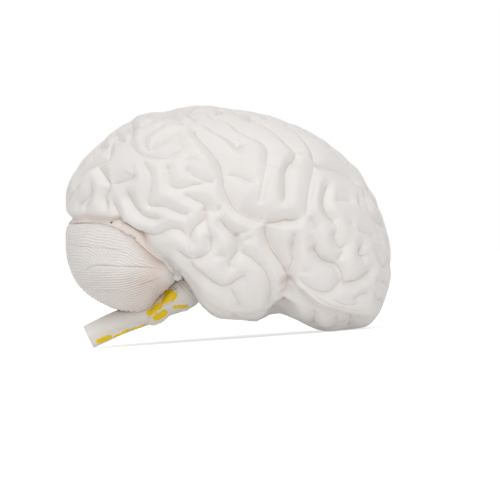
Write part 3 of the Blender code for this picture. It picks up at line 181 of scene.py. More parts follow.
# Folds of the side, each with its depth, the reach of its left and right shoulder, and its points (x, z)
SIDE_FOLDS = [
    (5.2, 3.0, 4.5, [(24.7, -34.0), (26.6, -31.0), (27.9, -27.5), (28.0, -24.0), (27.0, -20.5), (25.3, -17.0),
                     (23.2, -13.5), (21.0, -10.0), (19.2, -6.0), (18.0, -2.0), (17.6, 1.8)]),
    (3.4, 3.0, 5.0, [(17.6, 2.0), (14.5, 3.2), (11.0, 4.6), (7.5, 6.0), (4.8, 7.8), (2.6, 10.2), (1.0, 13.0),
                     (-0.5, 16.0), (-1.4, 19.5), (-1.9, 23.0), (-2.4, 26.5), (-3.6, 30.0), (-5.0, 32.8),
                     (-7.0, 35.5), (-9.5, 38.5), (-12.0, 41.3), (-14.3, 44.0), (-15.8, 46.3)]),
    (4.2, 3.0, 2.6, [(17.6, 2.0), (20.0, 2.3), (24.0, 3.1), (27.0, 3.7), (30.5, 3.7), (33.5, 4.4)]),
    (2.6, 4.0, 2.6, [(-1.5, 24.8), (2.0, 24.8), (5.5, 23.9), (8.8, 22.6), (11.2, 21.3), (13.0, 20.0)]),
    (2.5, 6.0, 2.6, [(-22.5, 48.6), (-17.5, 49.8), (-12.5, 49.3), (-9.0, 47.5), (-6.0, 45.4), (-2.5, 43.6),
                     (0.5, 41.8), (3.0, 39.8), (4.8, 37.5), (6.5, 38.2), (8.5, 38.6)]),
    (2.5, 5.0, 2.6, [(-9.0, 52.6), (-5.0, 51.2), (-1.0, 50.4), (2.0, 48.8), (4.5, 46.5), (8.0, 44.5),
                     (12.0, 42.4), (15.5, 40.6), (17.8, 38.4), (18.7, 35.3), (18.4, 31.5), (17.7, 28.0)]),
    (1.4, 3.0, 3.0, [(17.7, 28.5), (17.0, 24.5), (16.3, 20.5), (15.6, 16.5), (14.8, 13.0), (13.5, 10.5)]),
    (2.5, 5.0, 2.6, [(10.3, 52.6), (13.0, 50.7), (16.5, 48.8), (20.5, 46.4), (24.5, 43.2), (28.0, 39.6),
                     (30.8, 36.8), (31.8, 34.3)]),
    (3.3, 2.4, 2.4, [(31.8, 34.8), (31.4, 32.8), (30.2, 31.2), (28.5, 29.8), (27.2, 27.0), (26.9, 23.0),
                     (26.9, 18.5), (26.8, 14.5), (25.9, 12.0)]),
    (2.2, 5.0, 2.6, [(19.5, 52.4), (24.0, 49.9), (28.5, 47.6), (32.5, 45.0), (35.8, 41.8), (38.3, 38.0),
                     (39.8, 34.0), (40.2, 30.0)]),
    (1.4, 3.0, 3.0, [(40.2, 30.5), (39.6, 26.0), (38.8, 22.0), (38.0, 18.0), (37.2, 14.0), (36.8, 10.0),
                     (36.3, 6.5), (35.0, 4.8)]),
    (1.8, 3.0, 2.6, [(35.0, 45.8), (39.0, 43.6), (42.0, 41.5), (45.5, 39.0), (50.0, 36.0)]),
    (2.3, 4.5, 2.6, [(40.3, 28.5), (44.0, 28.6), (48.0, 27.7), (52.0, 26.6), (55.5, 24.8), (58.6, 22.8),
                     (60.8, 19.5)]),
    (1.7, 3.0, 2.6, [(50.5, 33.6), (54.5, 31.0), (57.8, 28.0)]),
    (3.0, 2.6, 2.6, [(46.8, 20.3), (46.0, 17.5), (45.1, 14.0), (45.0, 11.0), (45.6, 8.0), (46.9, 5.6),
                     (48.8, 3.4), (50.4, 1.0)]),
    (2.2, 2.6, 2.6, [(50.4, -1.0), (49.6, -4.6), (51.0, -7.6), (52.8, -9.3), (55.4, -7.8)]),
    (2.0, 4.0, 2.0, [(50.0, 12.6), (54.0, 13.0), (58.8, 12.7)]),
    (1.9, 2.6, 2.6, [(61.2, 14.4), (61.8, 11.8), (63.8, 10.0)]),
    (2.2, 3.0, 3.0, [(37.6, 5.4), (39.8, 3.0), (41.4, 0.8), (42.8, -1.8)]),
    (2.8, 2.8, 2.8, [(31.3, -4.5), (30.5, -8.0), (30.3, -12.0), (30.7, -15.0), (30.1, -18.0), (28.9, -21.0),
                     (28.0, -24.0)]),
    (2.9, 2.8, 2.8, [(40.8, -7.0), (41.0, -10.0), (42.5, -12.6), (44.7, -14.6), (47.2, -15.9), (49.8, -16.3),
                     (51.7, -18.0), (53.3, -20.5), (54.2, -23.5), (55.0, -25.1), (58.0, -25.3),
                     (61.0, -24.6), (63.5, -23.0), (65.6, -21.4), (67.0, -19.0)]),
    (2.2, 2.6, 2.6, [(53.9, -9.8), (53.2, -12.2), (51.6, -14.6), (50.4, -16.2)]),
    (2.4, 3.0, 2.6, [(33.2, -23.2), (34.8, -26.2), (37.5, -28.3), (40.5, -29.6), (44.0, -30.6),
                     (47.5, -30.0), (50.2, -28.3), (52.6, -26.2), (54.3, -25.0)]),
    (2.2, 2.6, 2.6, [(58.0, -33.0), (60.5, -32.6), (63.3, -31.2), (66.8, -30.2)]),
    (3.2, 2.8, 2.8, [(62.9, -7.2), (62.3, -10.5), (62.4, -12.8), (65.2, -13.4)]),
    (1.6, 2.6, 2.6, [(60.0, -0.4), (64.5, -2.3), (68.8, -3.8)]),
    (1.6, 2.6, 2.6, [(57.2, 3.0), (58.2, 0.0)]),
    (2.8, 2.2, 4.5, [(31.5, -29.8), (34.0, -32.2), (37.0, -35.2), (41.0, -37.8), (46.0, -39.2), (52.0, -40.6),
                     (58.0, -42.0), (64.0, -43.0)]),
    (1.8, 2.0, 2.0, [(28.6, -24.5), (30.5, -24.6), (33.0, -24.2)]),
    (1.1, 2.2, 2.2, [(33.0, -22.0), (35.0, -20.9), (38.2, -20.5)]),
    (3.4, 3.0, 3.0, [(-3.4, 5.0), (-2.0, 2.2), (0.0, -0.2), (2.2, -2.3), (3.7, -4.5), (4.5, -7.0),
                     (4.5, -9.5), (3.9, -12.0), (2.5, -13.8), (1.0, -16.0), (0.8, -18.0), (0.1, -20.6)]),
    (2.6, 2.4, 2.4, [(3.6, -3.0), (6.5, -2.4), (9.8, -1.7)]),
    (1.6, 2.4, 2.4, [(6.0, -7.3), (9.0, -5.6), (12.3, -4.2)]),
    (1.8, 2.2, 2.2, [(5.0, -11.0), (7.5, -10.8), (9.6, -10.2)]),
    (2.8, 3.0, 3.0, [(5.0, -11.5), (8.5, -12.5), (11.5, -14.2), (14.2, -16.8), (16.8, -19.5), (18.8, -22.8),
                     (20.0, -26.0), (20.5, -29.5), (20.4, -33.0), (19.6, -37.2)]),
    (2.2, 2.4, 2.4, [(-5.8, -13.3), (-3.0, -12.9), (-0.8, -13.8), (0.7, -15.6)]),
    (2.8, 3.0, 3.0, [(-20.6, 15.8), (-18.0, 14.5), (-15.0, 13.0), (-12.4, 11.9), (-10.6, 10.5), (-9.6, 8.3),
                     (-9.6, 6.3), (-10.6, 4.0), (-12.6, 2.0), (-15.0, 0.0), (-16.8, -2.3), (-17.4, -4.8),
                     (-16.6, -7.0)]),
    (2.6, 3.0, 2.8, [(-48.6, 1.2), (-45.5, -0.8), (-42.0, -2.8), (-38.0, -3.9), (-34.0, -4.1), (-31.0, -3.0),
                     (-28.0, -1.3), (-25.0, -0.6), (-22.0, -1.3), (-19.8, -3.0), (-17.8, -5.0)]),
    (3.0, 2.6, 2.8, [(-24.3, -10.5), (-22.0, -12.7), (-19.5, -14.7), (-16.6, -15.4), (-13.8, -14.7),
                     (-11.0, -13.2), (-9.0, -11.4), (-8.0, -9.5), (-7.7, -6.5), (-7.3, -2.8)]),
    (2.8, 2.6, 3.0, [(-17.3, -15.6), (-17.2, -18.0), (-15.0, -20.5), (-12.0, -22.7), (-9.0, -24.7),
                     (-6.0, -26.7), (-3.4, -27.8), (-1.0, -27.8), (1.5, -26.8), (4.0, -25.0), (6.3, -23.4),
                     (8.6, -21.8)]),
    (2.4, 2.6, 2.6, [(0.6, -28.2), (2.2, -31.0), (3.6, -33.3), (4.7, -35.5), (5.0, -38.5)]),
    (2.8, 3.0, 2.8, [(-28.3, 29.8), (-27.4, 27.0), (-27.0, 23.5), (-26.8, 20.8), (-25.5, 18.9), (-22.5, 18.3),
                     (-19.5, 18.9), (-16.5, 19.8), (-13.3, 20.3), (-10.0, 21.2)]),
    (2.3, 3.0, 3.0, [(-19.6, 28.2), (-17.7, 26.2), (-15.5, 24.2), (-12.7, 22.7), (-10.0, 21.7), (-7.6, 21.3),
                     (-5.4, 22.6)]),
    (1.6, 2.4, 2.4, [(-19.0, 31.2), (-17.0, 32.1), (-14.5, 31.9), (-12.5, 30.3)]),
    (2.2, 3.0, 3.0, [(-24.8, 45.0), (-22.8, 42.8), (-21.5, 40.0), (-20.7, 37.6), (-22.5, 35.8), (-25.2, 34.6),
                     (-28.0, 33.0), (-32.0, 32.7), (-36.0, 33.2), (-40.0, 34.0), (-42.7, 35.9),
                     (-44.6, 38.3), (-46.6, 40.2)]),
    (2.4, 3.4, 2.6, [(-45.8, 49.6), (-44.6, 46.8), (-41.5, 47.0), (-38.0, 48.6), (-34.5, 50.0)]),
    (2.0, 2.6, 2.6, [(-30.3, 48.0), (-33.0, 46.3), (-35.6, 44.8), (-37.8, 42.5), (-38.3, 40.0), (-37.5, 37.8),
                     (-35.7, 36.6), (-33.0, 38.2), (-30.0, 40.6), (-27.3, 43.0), (-24.8, 44.8)]),
    (1.8, 2.6, 2.6, [(-39.3, 52.3), (-35.0, 52.6), (-31.0, 53.0)]),
    (2.0, 3.0, 2.6, [(-29.5, 54.0), (-26.5, 53.0), (-24.0, 51.7), (-22.0, 50.0)]),
    (2.0, 3.0, 2.6, [(-19.3, 56.6), (-18.3, 54.5), (-14.0, 54.7), (-9.5, 54.7), (-4.5, 53.6)]),
    (2.4, 2.8, 3.0, [(-38.8, 31.2), (-37.8, 28.4), (-36.0, 25.5), (-35.4, 22.0), (-35.7, 18.5), (-36.4, 15.0),
                     (-37.1, 11.8), (-36.2, 9.8), (-33.0, 9.7), (-29.5, 9.5), (-26.0, 8.2), (-22.8, 6.7),
                     (-20.5, 6.0), (-17.3, 6.8)]),
    (2.8, 2.8, 2.8, [(-46.8, 17.0), (-46.1, 14.3), (-45.0, 12.0), (-43.6, 9.8), (-41.8, 7.6), (-39.6, 5.6),
                     (-37.0, 4.4), (-34.0, 3.9), (-31.0, 4.3)]),
    (2.8, 2.8, 2.8, [(-60.6, 28.6), (-59.2, 26.3), (-57.3, 23.4), (-55.6, 20.4), (-55.6, 17.8), (-56.6, 15.5),
                     (-57.5, 12.8), (-56.8, 10.3), (-55.5, 8.0)]),
    (2.8, 4.5, 2.4, [(-54.8, 20.0), (-51.5, 20.6), (-48.5, 21.5), (-45.8, 22.4), (-44.0, 23.6),
                     (-43.4, 25.6)]),
    (2.6, 2.6, 2.6, [(-53.4, 12.3), (-52.3, 9.2), (-51.2, 6.3), (-50.4, 3.3), (-49.6, 0.8)]),
    (2.6, 2.6, 2.6, [(-63.4, 19.2), (-64.2, 16.0), (-65.3, 13.0), (-66.3, 10.0), (-67.2, 7.0)]),
    (2.4, 3.4, 2.6, [(-73.0, 16.0), (-70.8, 21.3), (-68.7, 24.8), (-66.0, 27.3), (-62.5, 29.2), (-59.0, 30.6),
                     (-56.3, 31.8), (-55.3, 34.0), (-55.1, 36.5), (-54.3, 39.3), (-52.0, 41.7),
                     (-49.8, 41.0), (-47.8, 39.8)]),
    (1.8, 2.6, 2.6, [(-65.0, 31.2), (-62.0, 33.0), (-60.0, 34.7), (-57.8, 35.5)]),
    (1.8, 2.6, 2.6, [(-55.6, 42.8), (-52.5, 43.8), (-50.5, 42.2)]),
    (2.2, 2.2, 2.2, [(-5.4, 6.9), (-3.8, 8.4), (-2.3, 10.0)]),
    (2.2, 2.6, 2.6, [(-46.2, 49.5), (-45.2, 46.5), (-45.0, 43.5), (-46.0, 41.0), (-47.6, 39.2)]),
    (1.8, 2.4, 2.4, [(-15.5, -26.0), (-12.6, -31.5), (-10.2, -35.2), (-7.0, -38.2), (-3.0, -40.3),
                     (1.5, -40.7), (4.5, -40.4), (7.0, -42.0)]),
    (1.8, 2.4, 2.4, [(13.5, -39.4), (17.5, -39.1), (21.0, -38.4), (23.0, -37.2)]),
]

# Broad steps where one lobe stands proud of the next, added to the folds
LOBE_STEPS = [
    (2.4, 0.1, 13.0, [(24.7, -34.0), (27.9, -27.5), (27.0, -20.5), (23.2, -13.5), (19.2, -6.0), (17.6, 1.8),
                      (11.0, 4.6), (4.8, 7.8)]),
    (1.4, 9.0, 0.1, [(-17.8, -5.0), (-16.6, -14.5), (-11.0, -13.2), (-7.7, -6.5), (-9.6, 6.3), (-3.4, 5.0)]),
    (1.2, 4.5, 4.5, [(-2.0, 2.2), (1.5, -1.5), (3.9, -4.5), (4.6, -9.5), (2.5, -13.8)]),
    (1.0, 4.0, 4.0, [(31.0, -5.0), (30.5, -12.0), (29.6, -19.0), (28.0, -24.0)]),
    (1.6, 8.0, 0.1, [(60.0, -25.0), (54.3, -25.0), (49.8, -16.3), (42.5, -12.6), (40.8, -7.0)]),
]

# Folds of the upper side near the middle, the back and the brow: (x, y, z), taken to the nearest surface
WRAPPED_FOLDS = [
    (2.6, 3.2, 3.2, [(-15.8, -30.0, 47.0), (-17.5, -20.0, 53.0), (-19.3, -10.0, 57.0), (-20.0, -1.0, 57.0)]),
    (2.4, 3.2, 3.2, [(-4.5, -25.0, 51.0), (-3.0, -16.0, 54.0), (-4.0, -8.0, 57.0), (-2.0, -1.0, 57.0)]),
    (2.2, 3.0, 3.0, [(10.3, -24.0, 49.0), (12.0, -17.0, 52.0), (20.0, -15.0, 50.0), (29.0, -15.0, 47.0),
                     (38.0, -14.0, 43.0), (48.0, -13.0, 36.0), (57.0, -12.0, 27.0), (65.0, -11.0, 15.0)]),
    (2.0, 3.0, 3.0, [(18.0, -16.0, 50.0), (17.0, -8.0, 54.0), (18.0, -1.0, 54.0)]),
    (2.0, 3.0, 3.0, [(40.0, -14.0, 42.0), (41.0, -6.0, 44.0), (40.0, -1.0, 45.0)]),
    (2.2, 3.0, 3.0, [(-29.0, -24.0, 52.0), (-31.0, -14.0, 54.0), (-30.0, -1.0, 56.0)]),
    (2.4, 3.0, 3.0, [(-45.5, -28.0, 44.0), (-47.0, -16.0, 47.0), (-46.0, -7.0, 49.0), (-47.0, -1.0, 50.0)]),
    (2.2, 3.0, 3.0, [(-56.0, -27.0, 36.0), (-59.0, -16.0, 38.0), (-60.0, -8.0, 39.0), (-57.0, -1.0, 43.0)]),
    (2.0, 3.0, 3.0, [(-66.0, -22.0, 27.0), (-69.0, -13.0, 28.0), (-71.0, -5.0, 26.0)]),
    (2.0, 3.0, 3.0, [(-72.0, -18.0, 17.0), (-75.0, -9.0, 14.0), (-74.0, -3.0, 8.0)]),
    (2.0, 3.0, 3.0, [(66.0, -26.0, 4.0), (70.5, -17.0, 4.0), (73.5, -8.0, -1.0), (75.5, -2.0, -6.0)]),
    (2.0, 3.0, 3.0, [(68.0, -28.0, -12.0), (73.0, -19.0, -17.0), (75.0, -10.0, -16.0), (76.0, -2.0, -20.0)]),
    (2.0, 3.0, 3.0, [(67.0, -27.0, -31.0), (71.5, -16.0, -33.0), (72.5, -6.0, -35.0)]),
    (2.4, 3.0, 3.0, [(69.0, -9.0, -42.0), (58.0, -8.5, -47.5), (46.0, -9.0, -48.5), (34.0, -10.0, -44.0),
                     (27.0, -12.0, -41.0)]),
    (2.2, 3.0, 3.0, [(60.0, -20.0, -44.5), (50.0, -22.0, -46.0), (41.0, -20.0, -46.0), (34.0, -24.0, -42.0)]),
    (2.0, 3.0, 3.0, [(50.0, -22.0, -46.0), (49.0, -31.0, -43.0)]),
    (6.0, 4.5, 4.5, [(25.5, -42.0, -33.0), (24.0, -34.0, -38.0), (22.5, -24.0, -40.0), (21.0, -14.0, -38.0)]),
    (2.4, 3.0, 3.0, [(16.0, -27.0, -43.0), (4.0, -28.0, -43.5), (-8.0, -29.0, -39.0), (-20.0, -33.0, -24.0),
                     (-31.0, -36.0, -13.0), (-46.0, -33.0, -0.5), (-60.0, -24.0, 3.0)]),
    (2.0, 3.0, 3.0, [(12.0, -38.0, -41.5), (-2.0, -41.0, -40.0), (-14.0, -43.0, -30.0),
                     (-25.0, -46.0, -17.0)]),
    (2.2, 2.8, 2.8, [(26.0, -13.0, 48.0), (27.0, -6.0, 49.5), (25.0, -1.0, 50.0)]),
    (2.0, 2.8, 2.8, [(34.0, -9.0, 46.5), (33.0, -1.0, 47.0)]),
    (2.2, 2.8, 2.8, [(48.0, -12.0, 36.0), (49.0, -6.0, 37.5), (47.5, -1.0, 38.5)]),
    (2.2, 2.8, 2.8, [(56.0, -11.0, 28.0), (57.5, -5.0, 30.0), (56.0, -1.0, 31.0)]),
    (2.2, 2.8, 2.8, [(63.0, -10.0, 18.0), (65.0, -4.0, 20.0), (64.5, -1.0, 21.0)]),
    (2.0, 2.8, 2.8, [(69.0, -9.0, 8.0), (71.5, -1.0, 9.0)]),
    (2.2, 2.8, 2.8, [(-11.0, -16.0, 56.0), (-12.0, -8.0, 57.0), (-10.0, -1.0, 57.0)]),
    (2.2, 2.8, 2.8, [(-24.0, -14.0, 55.0), (-26.0, -8.0, 56.0), (-25.0, -1.0, 55.5)]),
    (2.2, 2.8, 2.8, [(-37.0, -16.0, 52.0), (-39.0, -8.0, 53.5), (-38.0, -1.0, 53.5)]),
    (2.2, 2.8, 2.8, [(-52.0, -15.0, 44.0), (-54.0, -8.0, 45.0), (-53.0, -1.0, 45.5)]),
    (2.2, 2.8, 2.8, [(-24.0, -20.0, 53.5), (-30.0, -17.0, 53.0), (-38.0, -19.0, 50.5), (-46.0, -17.0, 47.5)]),
    (2.2, 2.8, 2.8, [(1.0, -20.0, 53.0), (4.0, -12.0, 54.5), (3.0, -5.0, 56.0), (5.0, -1.0, 56.0)]),
    (2.2, 2.8, 2.8, [(74.0, -5.0, -1.0), (73.0, -9.0, 6.0), (69.5, -11.0, 14.0)]),
    (2.2, 2.8, 2.8, [(72.0, -20.0, -8.0), (69.0, -24.0, 0.0), (66.0, -24.0, 8.0), (64.0, -20.0, 15.0)]),
    (2.0, 2.8, 2.8, [(75.5, -8.0, -14.0), (75.0, -12.0, -8.0), (73.0, -17.0, -4.0)]),
    (2.2, 2.8, 2.8, [(74.0, -8.0, -30.0), (75.0, -14.0, -26.0), (72.0, -22.0, -24.0), (68.0, -28.0, -26.0)]),
    (2.2, 2.8, 2.8, [(-74.0, -12.0, 9.0), (-73.0, -18.0, 13.0), (-70.0, -24.0, 19.0), (-66.0, -26.0, 25.0)]),
    (2.0, 2.8, 2.8, [(-75.5, -4.0, 12.0), (-74.5, -8.0, 19.0), (-72.0, -7.0, 24.0)]),
    (2.0, 2.8, 2.8, [(-70.0, -14.0, 24.0), (-66.0, -15.0, 31.0), (-62.0, -10.0, 36.0)]),
    (2.2, 2.8, 2.8, [(-69.0, -26.0, 10.0), (-64.0, -32.0, 14.0), (-62.0, -33.0, 20.0)]),
    (2.2, 2.8, 2.8, [(44.0, -12.0, -48.0), (45.0, -20.0, -46.5)]),
    (2.2, 2.8, 2.8, [(57.0, -12.0, -47.0), (58.0, -20.0, -46.0), (56.0, -30.0, -42.0)]),
    (2.2, 2.8, 2.8, [(40.0, -20.0, -46.0), (38.0, -30.0, -42.0), (40.0, -38.0, -38.0)]),
    (2.2, 2.8, 2.8, [(4.0, -28.0, -43.0), (3.0, -36.0, -42.0), (5.0, -42.0, -40.0)]),
    (2.0, 2.8, 2.8, [(-8.0, -29.0, -39.0), (-10.0, -22.0, -38.0)]),
    (2.0, 2.8, 2.8, [(-20.0, -33.0, -24.0), (-22.0, -26.0, -23.0)]),
    (2.2, 2.8, 2.8, [(10.0, -22.0, -42.0), (2.0, -20.0, -42.0), (-6.0, -20.0, -38.0)]),
]

# Folds and raised bands of the flat middle faces: (x, z); a negative depth stands proud of the hollow
MIDDLE_FOLDS = [
    (1.6, 2.6, 2.6, [(27.0, -14.0), (33.0, -8.0), (36.0, 2.0), (33.0, 11.0), (25.0, 18.0), (12.0, 22.5),
                     (-3.0, 24.0), (-17.0, 22.5), (-28.0, 17.0), (-34.0, 9.0), (-34.0, 1.0)]),
    (1.5, 2.2, 2.2, [(22.0, -4.0), (26.0, 2.0), (24.0, 9.0), (14.0, 14.0), (0.0, 16.0), (-14.0, 15.0),
                     (-23.0, 10.0), (-26.0, 3.0), (-22.0, 0.0)]),
    (1.8, 3.0, 3.0, [(40.0, -20.0), (48.0, -8.0), (50.0, 6.0), (45.0, 20.0), (33.0, 30.0), (16.0, 35.0),
                     (-2.0, 37.0), (-17.0, 38.0), (-26.0, 43.0), (-29.0, 52.0)]),
    (1.6, 2.6, 2.6, [(56.0, -26.0), (63.0, -12.0), (63.0, 2.0), (57.0, 16.0)]),
    (1.4, 2.6, 2.6, [(30.0, 31.0), (34.0, 44.0)]),
    (1.4, 2.6, 2.6, [(8.0, 36.0), (6.0, 53.0)]),
    (1.4, 2.6, 2.6, [(50.0, 14.0), (60.0, 24.0)]),
    (2.0, 3.0, 3.0, [(-56.0, 42.0), (-50.0, 30.0), (-44.0, 18.0), (-38.0, 8.0)]),
    (1.8, 3.0, 3.0, [(-73.0, 14.0), (-62.0, 15.0), (-52.0, 13.0), (-43.0, 15.0)]),
    (1.4, 2.6, 2.6, [(-28.0, 30.0), (-38.0, 30.0), (-42.0, 40.0), (-38.0, 49.0)]),
    (1.4, 2.6, 2.6, [(18.0, -10.0), (10.0, -16.0), (2.0, -18.0), (-8.0, -14.0), (-16.0, -6.0), (-12.0, 2.0),
                     (-2.0, 6.0), (10.0, 5.0), (17.0, -1.0), (18.0, -10.0)]),
]

# The cleft between the halves, along the rim of the middle face
RIM_FOLDS = [
    (2.8, 6.0, 6.0, CEREBRUM_TOP + CEREBRUM_BOTTOM[:13:-1]),
]

# The skin of the cerebellum is laid in rays from its stalk, over these angles above the level rearward line
STALK = (-23.5, -20.5)
FOLIA_FROM = -78.0
FOLIA_TO = 150.0
RAY_ANGLE = 0.32
PLAIN_STEPS = 96
PAST_MIDDLE = 4.0
# How the rays bend towards the rim: (angle, degrees they have turned by the rim)
FAN_BEND = [(-78.0, 26.0), (-30.0, 13.5), (-18.0, 8.0), (0.0, 2.0), (10.0, 0.0), (17.0, -2.7), (32.0, -14.0),
            (60.0, -20.0), (150.0, -20.0), (282.0, 26.0)]
BEND_FROM = 24.0
BEND_RUN = 24.0
# Lines that the folia of the cerebellum follow, back to front: (x, z)
FOLIA_CREST = [(-78.0, -3.5), (-75.0, 0.5), (-70.0, 3.0), (-60.0, 3.0), (-50.0, 1.0), (-45.0, -1.5), (-40.0, -5.0),
               (-35.0, -10.0), (-30.0, -14.5), (-20.0, -18.5)]
UPPER_FISSURE = [(-78.0, -7.5), (-72.0, -8.3), (-66.0, -9.0), (-58.0, -9.7), (-50.0, -11.0), (-40.0, -14.5),
                 (-30.0, -17.5), (-20.0, -20.0)]
MIDDLE_FISSURE = [(-78.0, -22.5), (-72.0, -21.5), (-66.5, -20.0), (-64.0, -18.6), (-60.0, -17.6), (-50.0, -18.0),
                  (-38.0, -18.5), (-20.0, -20.5)]
LOWER_FISSURE = [(-78.0, -29.5), (-62.0, -29.5), (-48.0, -29.3), (-42.0, -27.5), (-36.0, -25.3), (-30.0, -23.0),
                 (-25.0, -21.0), (-20.0, -19.2)]
# The lowest folia are straight, and would meet far ahead (x, z), as seen from this distance
FAR_MEETING = (60.0, 8.0)
FAR_DISTANCE = 116.0
# Fissures between the folia: line, depth, and where along it each begins and ends
FISSURES = [(UPPER_FISSURE, 0.35, -75.0, -42.0), (MIDDLE_FISSURE, 0.55, -68.0, -30.0),
            (LOWER_FISSURE, 0.25, -64.0, -24.0)]
CREST_FOLIA = 8.5
FOLIUM = 1.45
LOW_FOLIUM = 1.12
# The lobule whose folia are arcs about a point (x, z): pitch, and the part it takes, back to front
LOBULE_CENTRE = (-67.5, -20.5)
LOBULE_FOLIUM = 1.35
LOBULE_SPAN = (-67.0, -52.5)

# The ledge that the cerebrum lays on the cerebellum along their seam: reach, and its face and foot off the cerebellum
LEDGE_REACH = 0.0034
LEDGE_FACE = 0.0006
LEDGE_FOOT = 0.0001
# Painted warm shade along the seam with the cerebellum: full within the first distance and gone a run further on, and
# its end towards the front (x, run)
SEAM_SHADE = (0.0022, 0.0018)
SEAM_END = (-28.0, 8.0)
# Share of painted shade that the pits take
PIT_SHADE = 0.4

# Small pits of the casting on the side: (x, z), radius, depth
PITS = [
    ((62.3, -10.3), 1.7, 1.0),
    ((4.2, -3.4), 2.2, 1.4),
    ((27.0, -27.0), 5.5, 1.6),
    ((-10.6, 8.2), 1.8, 1.0),
    ((30.8, -3.9), 1.6, 1.0),
    ((6.2, 38.2), 1.8, 0.8),
]
# A dark spot painted on the ledge as the shade in a hole there, with no hole cut: (x, z), and its radius
VENT = (-53.5, 2.0)
VENT_RADIUS = 0.00065


# The brow's lower lip, whose underside stands back: depth, reach above and below, and points (x, z)
BROW_STEPS = [
    (2.6, 0.5, 12.0, [(31.8, -29.2), (34.6, -31.8), (38.0, -34.6), (43.4, -38.6), (51.0, -41.0), (59.5, -42.3),
                      (64.2, -42.0), (68.5, -39.5)]),
]
# Thin creases that only the scene shows: depth, reach, and points (x, z)
CREASES = [
    (0.8, 0.9, [(33.5, -29.0), (37.5, -32.2), (43.4, -36.2), (51.0, -38.6), (58.0, -40.2), (63.0, -40.2)]),
    (0.6, 0.8, [(40.0, -31.8), (46.0, -35.2), (52.0, -37.0), (58.0, -38.2), (62.5, -38.2)]),
    (0.6, 0.8, [(48.0, -32.8), (53.0, -35.2), (58.0, -35.8), (61.0, -34.5)]),
    (0.3, 1.5, [(19.0, 24.0), (18.1, 19.0), (17.2, 14.5), (16.3, 11.0)]),
    (0.3, 1.5, [(40.9, 23.0), (39.9, 17.0), (38.8, 12.0)]),
]

# Slanting ridges of the pons: middle (x, z), radius, pitch, depth
PONS_RIDGES = ((-20.0, -28.0), 8.5, 1.45, 0.3)

# Yellow paint on the nerve roots of the stem: radius and points (x, z)
PAINT = [
    (1.9, [(-29.4, -34.2), (-28.0, -32.2), (-26.6, -30.6)]),
    (1.6, [(-26.0, -33.2), (-24.8, -31.2)]),
    (1.3, [(-29.6, -30.2), (-28.2, -29.4)]),
    (1.7, [(-36.4, -39.8), (-34.0, -38.0), (-31.8, -36.4)]),
    (1.7, [(-33.4, -42.0), (-31.0, -40.8), (-29.6, -39.6)]),
    (0.9, [(-24.8, -37.2), (-22.0, -36.8), (-19.2, -36.7)]),
    (0.7, [(-41.5, -46.6), (-39.1, -45.8)]),
    (0.7, [(-44.9, -47.7), (-42.9, -46.9)]),
    (0.8, [(-49.2, -49.1), (-46.7, -48.1)]),
    (0.8, [(-52.7, -51.0), (-50.5, -50.0)]),
    (1.3, [(-60.2, -53.2), (-57.6, -52.2), (-55.4, -51.2)]),
]

# Folds: how grooves are sampled, fade at their ends, and keep to a wandering course where the photograph is blind
LINE_STEP = 0.0003
LINE_CHUNK = 32
FADE_LENGTH = 0.0028
FADE_FLOOR = 0.45
CREASE_FADE = (0.004, 0.007)
RIM_SHARE = 0.2
WANDER = 0.0014
WANDER_WAVE = 0.0034
PILLOW_POWER = 1.6
DEPTH_POWER = 0.8
BLEND_POWER = 4.0
BORE_RIM = 0.0045
BORE_REACH = 0.012


def placed(points):
    """Drawn millimetres as metres."""
    return np.array(points, float).reshape(-1, 3) * MM


def in_profile(points):
    """Drawn (x, z) points as places on the middle plane."""
    return placed([(x, 0.0, z) for x, z in points])


def smooth_line(points, step):
    """A Catmull-Rom curve through the points, with a sample every step."""
    p = np.asarray(points, float)
    p = np.vstack([2 * p[0] - p[1], p, 2 * p[-1] - p[-2]])
    samples = []
    for a, b, c, d in zip(p[:-3], p[1:-2], p[2:-1], p[3:]):
        count = max(2, int(math.ceil(np.linalg.norm(c - b) / step)))
        t = np.arange(count)[:, None] / count
        samples.append(0.5 * (2 * b + (c - a) * t + (2 * a - 5 * b + 4 * c - d) * t ** 2
                              + (3 * b - a - 3 * c + d) * t ** 3))
    return np.vstack(samples + [p[-2][None]])


def profile(points, xs):
    """Heights or widths at each x of a smooth curve through drawn points."""
    line = smooth_line(points, 1.0)
    return np.interp(xs, np.maximum.accumulate(line[:, 0]), line[:, 1])


def smooth_step(t):
    """Rises evenly from none to one as t goes from none to one."""
    t = np.clip(t, 0.0, 1.0)
    return t * t * (3.0 - 2.0 * t)


def node_centre(node):
    """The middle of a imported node's box."""
    low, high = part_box(node)
    return (Vector(low) + Vector(high)) / 2


def stance():
    """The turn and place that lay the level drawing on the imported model, from its two upper pins."""
    drawn = [Vector(p) for p in in_profile([FRONT_PIN, REAR_PIN])]
    real = [node_centre("front_pin"), node_centre("rear_pin")]
    level, leaning = drawn[0] - drawn[1], real[0] - real[1]
    lean = math.atan2(level.z, level.x) - math.atan2(leaning.z, leaning.x)
    turn = Matrix.Rotation(lean, 4, "Y")
    return Matrix.Translation(real[0] - turn @ drawn[0]) @ turn


def select_only(obj):
    """Makes one object selected and active."""
    bpy.ops.object.select_all(action="DESELECT")
    obj.select_set(True)
    bpy.context.view_layer.objects.active = obj


def nothing_selected():
    """Clears the selection before something is added."""
    bpy.ops.object.select_all(action="DESELECT")


def named(name):
    """The object just added, under its own name."""
    obj = bpy.context.object
    obj.name = name
    obj.data.name = name
    return obj


def with_modifier(obj, kind, **settings):
    """Adds a modifier, sets it and makes it part of the mesh."""
    select_only(obj)
    bpy.ops.object.modifier_add(type=kind)
    modifier = obj.modifiers[-1]
    for setting, value in settings.items():
        setattr(modifier, setting, value)
    bpy.ops.object.modifier_apply(modifier=modifier.name)
    return obj


def cut(obj, cutter, operation="DIFFERENCE"):
    """A Boolean with a cutter, which is used up."""
    with_modifier(obj, "BOOLEAN", object=cutter, operation=operation, solver="EXACT")
    bpy.data.objects.remove(cutter)
    return obj


